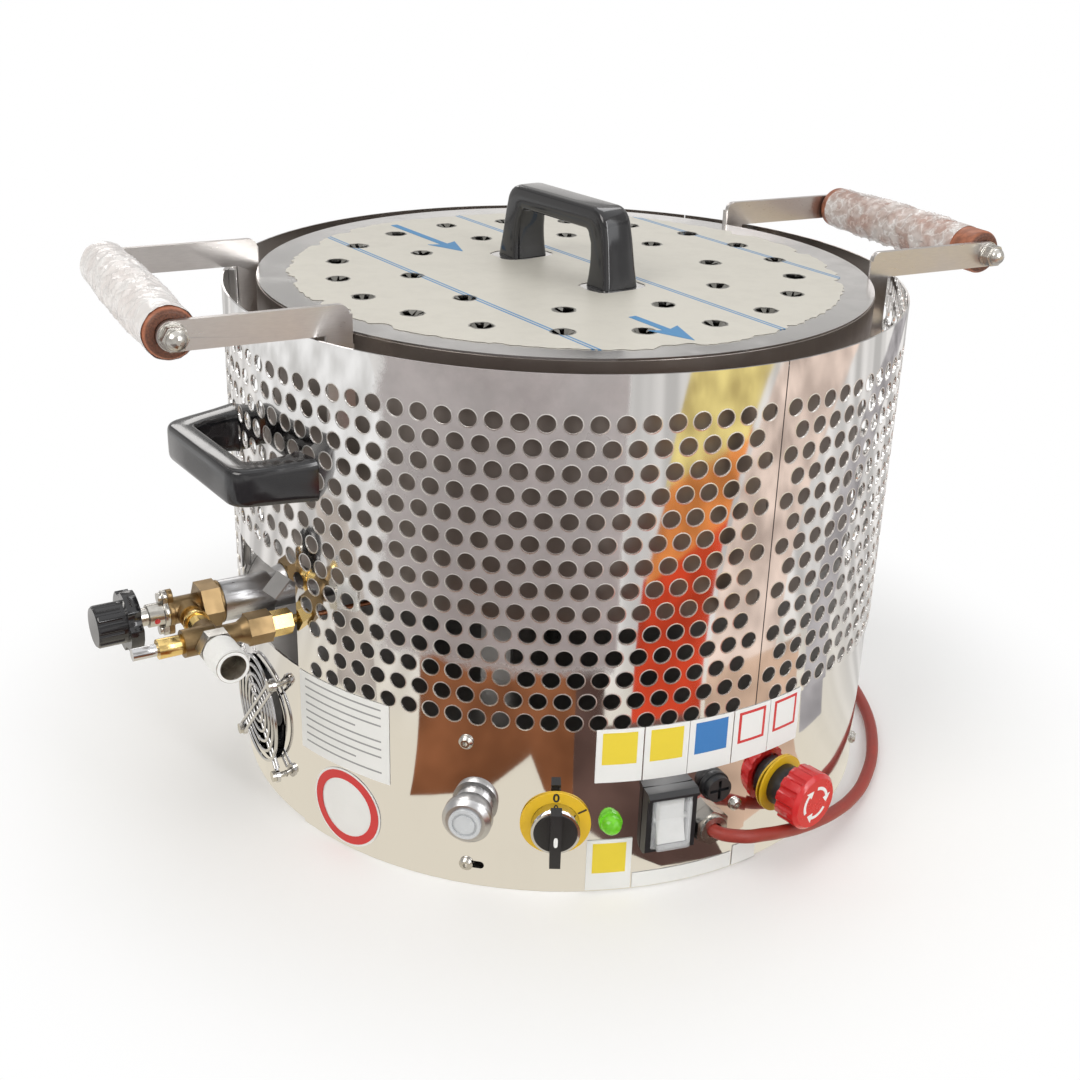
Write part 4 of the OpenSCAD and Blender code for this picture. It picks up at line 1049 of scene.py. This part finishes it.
class ROASTER_OT_labels(Operator):
    """Stick the blank labels on the drum"""

    bl_idname = "roaster.labels"
    bl_label = "Labels"

    def execute(self, context):
        face = SHIELD_R + context.scene.roaster_sizes.label_lift
        row = (0.083, 0.1215)
        for name, az0, az1, (z0, z1), tint in (("tag_1", 7.2, 14.5, row, "paper_yellow"),
                                               ("tag_2", 14.7, 21.9, row, "paper_yellow"),
                                               ("tag_3", 22.0, 29.7, row, "paper_blue"),
                                               ("tag_4", 29.9, 37.0, row, "paper_red"),
                                               ("tag_5", 37.1, 44.0, row, "paper_red"),
                                               ("tag_6", 6.5, 13.7, (0.0015, 0.040), "paper_yellow")):
            self.tag(name, az0, az1, z0, z1, tint, face)
        for name, az0, az1, top in (("strip_label", 14, 31.6, 0.0125), ("corner_label", 31.9, 36.7, 0.0165)):
            self.stick(name, [(*drum_patch(az0, az1, 0.0012, top, face, LABEL_T), 0)])
        self.ruled_sheet(face)
        self.round_label(face)
        return {"FINISHED"}

    @staticmethod
    def stick(name, parts, *inks):
        """A paper label made of patches, which are marked 0 for paper and 1 for the ink."""
        joined(name, parts, ("paper", *inks), "base", "mirror_steel")

    def tag(self, name, az0, az1, z0, z1, tint, r):
        """A white sticker with a plain coloured field."""
        span, tall = az1 - az0, z1 - z0
        field = (az0 + span * 0.13, az1 - span * 0.13, z0 + tall * 0.34, z1 - tall * 0.07)
        parts = [(*drum_patch(az0, az1, z0, z1, r, LABEL_T), 0)]
        parts.append((*drum_patch(*field, r + 0.00016, 0.00008), 1))
        if tint == "paper_red":
            inset = span * 0.07
            rise = inset * 0.0041
            inner = (field[0] + inset, field[1] - inset, field[2] + rise, field[3] - rise)
            parts.append((*drum_patch(*inner, r + 0.00025, 0.00006), 0))
        self.stick(name, parts, tint)

    def ruled_sheet(self, r):
        """The paper sheet beside the burner window, with faint ruled lines."""
        parts = [(*drum_patch(-44.6, -25.5, 0.062, 0.1205, r, 0.00018, 14), 0)]
        for i in range(9):
            z = 0.115 - i * 0.0058
            end = -27.0 - (5 if i % 4 == 3 else 0)
            parts.append((*drum_patch(-43.2, end, z, z + 0.0012, r + 0.00019, 0.00004, 12), 1))
        self.stick("ruled_sheet", parts, "paper_grey")

    def round_label(self, r):
        """The round sticker low on the left."""
        middle_az, middle_z, thick = -34.5, 0.0315, 0.00016
        parts = []
        for outer, inner, rise, mark in ((0.029, 0.0001, 0.0, 0), (0.0275, 0.0215, 0.0002, 1)):
            rings = []
            for c, s in circle(48):
                ring = []
                for reach, up in ((inner, 0), (outer, 0), (outer, thick), (inner, thick)):
                    az = middle_az + math.degrees(reach * c / SHIELD_R)
                    ring.append(polar(az, r + rise + up, middle_z + reach * s))
                rings.append(ring)
            parts.append((*loft(rings, closed=True), mark))
        self.stick("round_label", parts, "paper_red")


class ROASTER_OT_cord(Operator):
    """Lay the power cord, its coil and tie"""

    bl_idname = "roaster.cord"
    bl_label = "Power cord"

    def execute(self, context):
        diameter = context.scene.roaster_sizes.cord_d
        route = self.route(diameter)
        curve = bpy.data.curves.new("cord_line", "CURVE")
        curve.dimensions = "3D"
        curve.bevel_depth = diameter / 2
        curve.bevel_resolution = 5
        curve.resolution_u = 6
        curve.use_fill_caps = True
        line = curve.splines.new("BEZIER")
        line.bezier_points.add(len(route) - 1)
        for knot, at in zip(line.bezier_points, route):
            knot.co = at
            knot.handle_left_type = knot.handle_right_type = "AUTO"
        curve.materials.append(FINISH["sheath"])
        cord = put("mains_cord", curve)
        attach(cord, "base")
        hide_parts("power_cord", "cord_coil")
        total = sum((b - a).length for a, b in zip(route, route[1:]))
        tie = self.tie(diameter)
        return {"FINISHED"}

    @staticmethod
    def route(d):
        """The route: straight out of the gland, down to the floor, round the drum and into the coil."""
        turn = math.radians(COIL_HEAD)
        ahead = Vector((math.cos(turn), math.sin(turn), 0))
        side = Vector((math.sin(turn), -math.cos(turn), 0))
        middle = Vector((*COIL_C, d / 2 + 0.0001))
        step, rise, half = d + 0.0006, d + 0.0005, COIL_TURNS / 2 + 0.25

        def winding(u):
            r = COIL_R - step * (u if u < half else 2 * half - u)
            t = min(max((u - half + 0.25) * 2, 0), 1)
            lift = Vector((0, 0, rise * t * t * (3 - 2 * t)))
            a = 2 * math.pi * u
            return middle + lift - r * (math.cos(a) * side - math.sin(a) * ahead)

        start = middle - COIL_R * side
        points = [polar(GLAND[0], FACE_R + 0.0035, GLAND[1]), polar(GLAND[0], FACE_R + 0.013, GLAND[1])]
        points += [polar(az, SHIELD_R + out / 1000, up / 1000) for az, out, up in CORD_WAY]
        points += [start - ahead * 3 * d, start - ahead * d]
        points += [winding(i / 24) for i in range(24 * COIL_TURNS + 1)]
        last = winding(COIL_TURNS)
        return points + [last + ahead * COIL_TAIL / 2, last + ahead * COIL_TAIL]

    @staticmethod
    def tie(d):
        """A tie round the coil's turns."""
        turn = math.radians(COIL_HEAD + 150)
        out = Vector((math.cos(turn), math.sin(turn), 0))
        across, up = Vector((-out.y, out.x, 0)) * TIE_W, Vector((0, 0, 1))
        middle = Vector((*COIL_C, d + 0.0003)) + out * (COIL_R - 0.0105)
        rings = []
        for c, s in circle(40):
            p = middle + out * swell(c, 0.6) * TIE_L + up * swell(s, 0.6) * TIE_H
            skin = (out * c + up * s) * TIE_T
            rings.append([p - across, p - across + skin, p + across + skin, p + across])
        return piece("coil_tie", *loft(rings, closed=True), "black", "base", "black_plastic", 50)


class ROASTER_OT_stage(Operator):
    """Set the floor, the cards that the steel mirrors, the lights and the camera"""

    bl_idname = "roaster.stage"
    bl_label = "Stage"

    def execute(self, context):
        scene = context.scene
        look = scene.roaster_stage
        scene.view_settings.view_transform = "Standard"
        self.floor(look)
        self.room(look)
        self.world(scene, look)
        for name, at, size, power, warm in (("key", (-1.3, -1.5, 1.9), 1.3, look.key, (1, 0.97, 0.93)),
                                            ("fill", (1.7, -1.1, 1.3), 1.4, look.fill, (0.95, 0.97, 1)),
                                            ("back", (0.3, 1.4, 2.3), 1.2, look.fill, (1, 1, 1)),
                                            ("strip", (1.0, -1.3, 1.0), 0.22, look.strip, (1, 1, 1))):
            lamp = bpy.data.lights.new(name, "AREA")
            lamp.size = size
            if name == "strip":
                lamp.shape = "RECTANGLE"
                lamp.size_y = 1.2
            lamp.energy = power
            lamp.color = warm
            holder = put(name, lamp)
            holder.location = at
            holder.rotation_euler = (Vector((0, 0, 0.2)) - Vector(at)).to_track_quat("-Z", "Y").to_euler()
        self.camera(scene)
        return {"FINISHED"}

    @staticmethod
    def sheet(name, points, faces, material):
        """A stage mesh that isn't part of the roaster."""
        mesh = bpy.data.meshes.new(name)
        mesh.from_pydata(points, [], faces)
        mesh.materials.append(material)
        made = put(name, mesh)
        return made

    def floor(self, look):
        """The pale floor, which keeps the shadow near the roaster and is white to the camera further out."""
        r = Recipe("studio floor")
        soft = r.cloud(3, 2)
        r.paint(Base_Color=r.mix(soft, look.floor, shade(look.floor, 0.98)), Roughness=0.85)
        seen = r.node("ShaderNodeLightPath", out="Is Camera Ray")
        white = r.node("ShaderNodeEmission", None, {"Color": (1, 1, 1), "Strength": 1.0})
        r.cover(seen * r.reach().rise(0.27, 0.48), white)
        self.sheet("floor", [(-6, -6, 0), (6, -6, 0), (6, 6, 0), (-6, 6, 0)], [(0, 1, 2, 3)], r.material)

    def room(self, look):
        """What mirrors alone show: pale ground, cards that lie on it and a wall with darker blocks."""
        r = Recipe("mirrored ground")
        way = r.azimuth() * 0.022
        wisp = r.node("ShaderNodeTexNoise", {"noise_dimensions": "1D"}, {"W": way, "Detail": 1.0})
        pale = r.mix(wisp.rise(0.36, 0.64), shade(look.room, 0.6), look.room)
        near = r.mix(abs(r.azimuth()).rise(60, 110), look.ground, r.mix(0.5, pale, shade(look.room, 0.72)))
        self.glow(r, r.mix(r.reach().rise(0.36, 0.62), near, pale))
        turns = [360 * k / WALL_STEPS for k in range(WALL_STEPS)]
        rings = [[polar(az, WALL_R, h) for az in turns] for h in (0.0004, WALL_H)]
        self.mirrored("mirrored_ground", rings[0], [tuple(range(WALL_STEPS))], r)
        for i, (name, tone, corners) in enumerate(CARDS):
            r = Recipe(name)
            self.glow(r, r.mix(r.cloud(6.5, 3).rise(0.28, 0.72), shade(tone, 0.62), shade(tone, 1.35)))
            points = []
            for (az, reach), (next_az, next_reach) in zip(corners, corners[1:] + corners[:1]):
                for k in range(12):
                    drum, away = az + (next_az - az) * k / 12, reach + (next_reach - reach) * k / 12
                    turn = CARD_TURN + (away - CARD_MEAN) * CARD_SPREAD
                    points.append(polar(drum * turn, away, 0.0006 + i * 0.0001))
            self.mirrored(name, points, [tuple(range(len(points)))], r)
        r = Recipe("mirrored wall")
        x, _, z = r.axes()
        block = r.cells(2.6, r.stretched((1, 1, 0.45)), "Color")
        tone = r.mix((block * z.rise(0.2, 0.5)).rise(0.35, 0.5), look.room, shade(look.room, 0.6))
        tone = r.mix(x.rise(-0.9, 0.3, 0.6, 0), tone, shade(look.room, 0.45))
        self.glow(r, r.mix(z.rise(1.06, 1.12) * z.rise(1.34, 1.42, 1, 0) * 0.7, tone, shade(look.room, 0.25)))
        points, faces = loft(rings)
        self.mirrored("mirrored_wall", points, faces[:-2], r)
        r = Recipe("mirrored window")
        self.glow(r, look.room, 3.5)
        points = [polar(az, WALL_R - 0.1, h) for h in (1.18, 1.75) for az in (-162, -156, -150, -144, -138)]
        self.mirrored("mirrored_window", points, [(k, k + 1, k + 6, k + 5) for k in range(4)], r)

    @staticmethod
    def glow(r, tone, strength=1.0):
        """A tone that mirrors show as it is, whatever the light."""
        r.paint(Base_Color=(0, 0, 0), Roughness=1.0, Specular_IOR_Level=0.0, Emission_Color=tone,
                Emission_Strength=strength)

    def mirrored(self, name, points, faces, recipe):
        """A stage sheet that reflections alone show."""
        sheet = self.sheet(name, points, faces, recipe.material)
        sheet.visible_camera = False
        sheet.visible_diffuse = False
        sheet.visible_shadow = False
        sheet.visible_transmission = False

    @staticmethod
    def world(scene, look):
        """Soft even light, with a white background to the camera and in gloss and glass."""
        world = bpy.data.worlds.new("studio")
        scene.world = world
        r = Nodes(world)
        light = r.tree.nodes["Background"]
        r.join(light.inputs["Color"], (1, 0.99, 0.97))
        r.join(light.inputs["Strength"], look.sky)
        white = r.node("ShaderNodeBackground", None, {"Color": (1, 1, 1)})
        path = r.node("ShaderNodeLightPath").socket.node
        seen = Signal(r, path.outputs["Is Camera Ray"])
        for ray in ("Is Glossy Ray", "Is Transmission Ray"):
            seen = seen.maths("MAXIMUM", seen, Signal(r, path.outputs[ray]))
        pick = r.node("ShaderNodeMixShader", None, {0: seen, 1: Signal(r, light.outputs[0]), 2: white})
        r.join(r.tree.nodes["World Output"].inputs["Surface"], pick)

    @staticmethod
    def camera(scene):
        """The photograph's view."""
        data = bpy.data.cameras.new("photo_view")
        data.sensor_width = SENSOR
        data.lens = CAMERA_F * SENSOR / FRAME_PX
        pitch, roll, yaw = CAMERA_PITCH, CAMERA_ROLL, CAMERA_YAW
        ahead = Vector((math.sin(yaw) * math.cos(pitch), math.cos(yaw) * math.cos(pitch), -math.sin(pitch)))
        right = ahead.cross(Vector((0, 0, 1))).normalized()
        up = right.cross(ahead)
        x = math.cos(roll) * right + math.sin(roll) * up
        y = -math.sin(roll) * right + math.cos(roll) * up
        matrix = Matrix((x, y, -ahead)).transposed().to_4x4()
        matrix.translation = (0, CAMERA_Y, CAMERA_Z)
        scene.camera = put("photo_view", data)
        scene.camera.matrix_world = matrix


STEPS = (ROASTER_OT_stage, ROASTER_OT_finishes, ROASTER_OT_cord, ROASTER_OT_shield, ROASTER_OT_lid_film,
         ROASTER_OT_handles, ROASTER_OT_wraps, ROASTER_OT_gas_details, ROASTER_OT_switch_marks,
         ROASTER_OT_labels)
GROUPS = {"roaster_colours": RoasterColours, "roaster_sizes": RoasterSizes, "roaster_stage": RoasterStage}


class ROASTER_PT_looks(Panel):
    """Lists the roaster's steps and settings"""

    bl_idname = "ROASTER_PT_looks"
    bl_label = "Roaster"
    bl_space_type = "VIEW_3D"
    bl_region_type = "UI"
    bl_category = "Roaster"

    def draw(self, context):
        column = self.layout.column()
        for step in STEPS:
            column.operator(step.bl_idname)
        for name in GROUPS:
            group = getattr(context.scene, name)
            for key in group.bl_rna.properties.keys():
                if key not in ("rna_type", "name"):
                    column.prop(group, key)


def register():
    for name, group in GROUPS.items():
        bpy.utils.register_class(group)
        setattr(bpy.types.Scene, name, PointerProperty(type=group))
    for cls in (*STEPS, ROASTER_PT_looks):
        bpy.utils.register_class(cls)


def unregister():
    for cls in reversed((*STEPS, ROASTER_PT_looks)):
        bpy.utils.unregister_class(cls)
    for name, group in reversed(GROUPS.items()):
        delattr(bpy.types.Scene, name)
        bpy.utils.unregister_class(group)


def main():
    register()
    for step in STEPS:
        area, name = step.bl_idname.split(".")
        getattr(getattr(bpy.ops, area), name)()


if __name__ == "__main__":
    main()
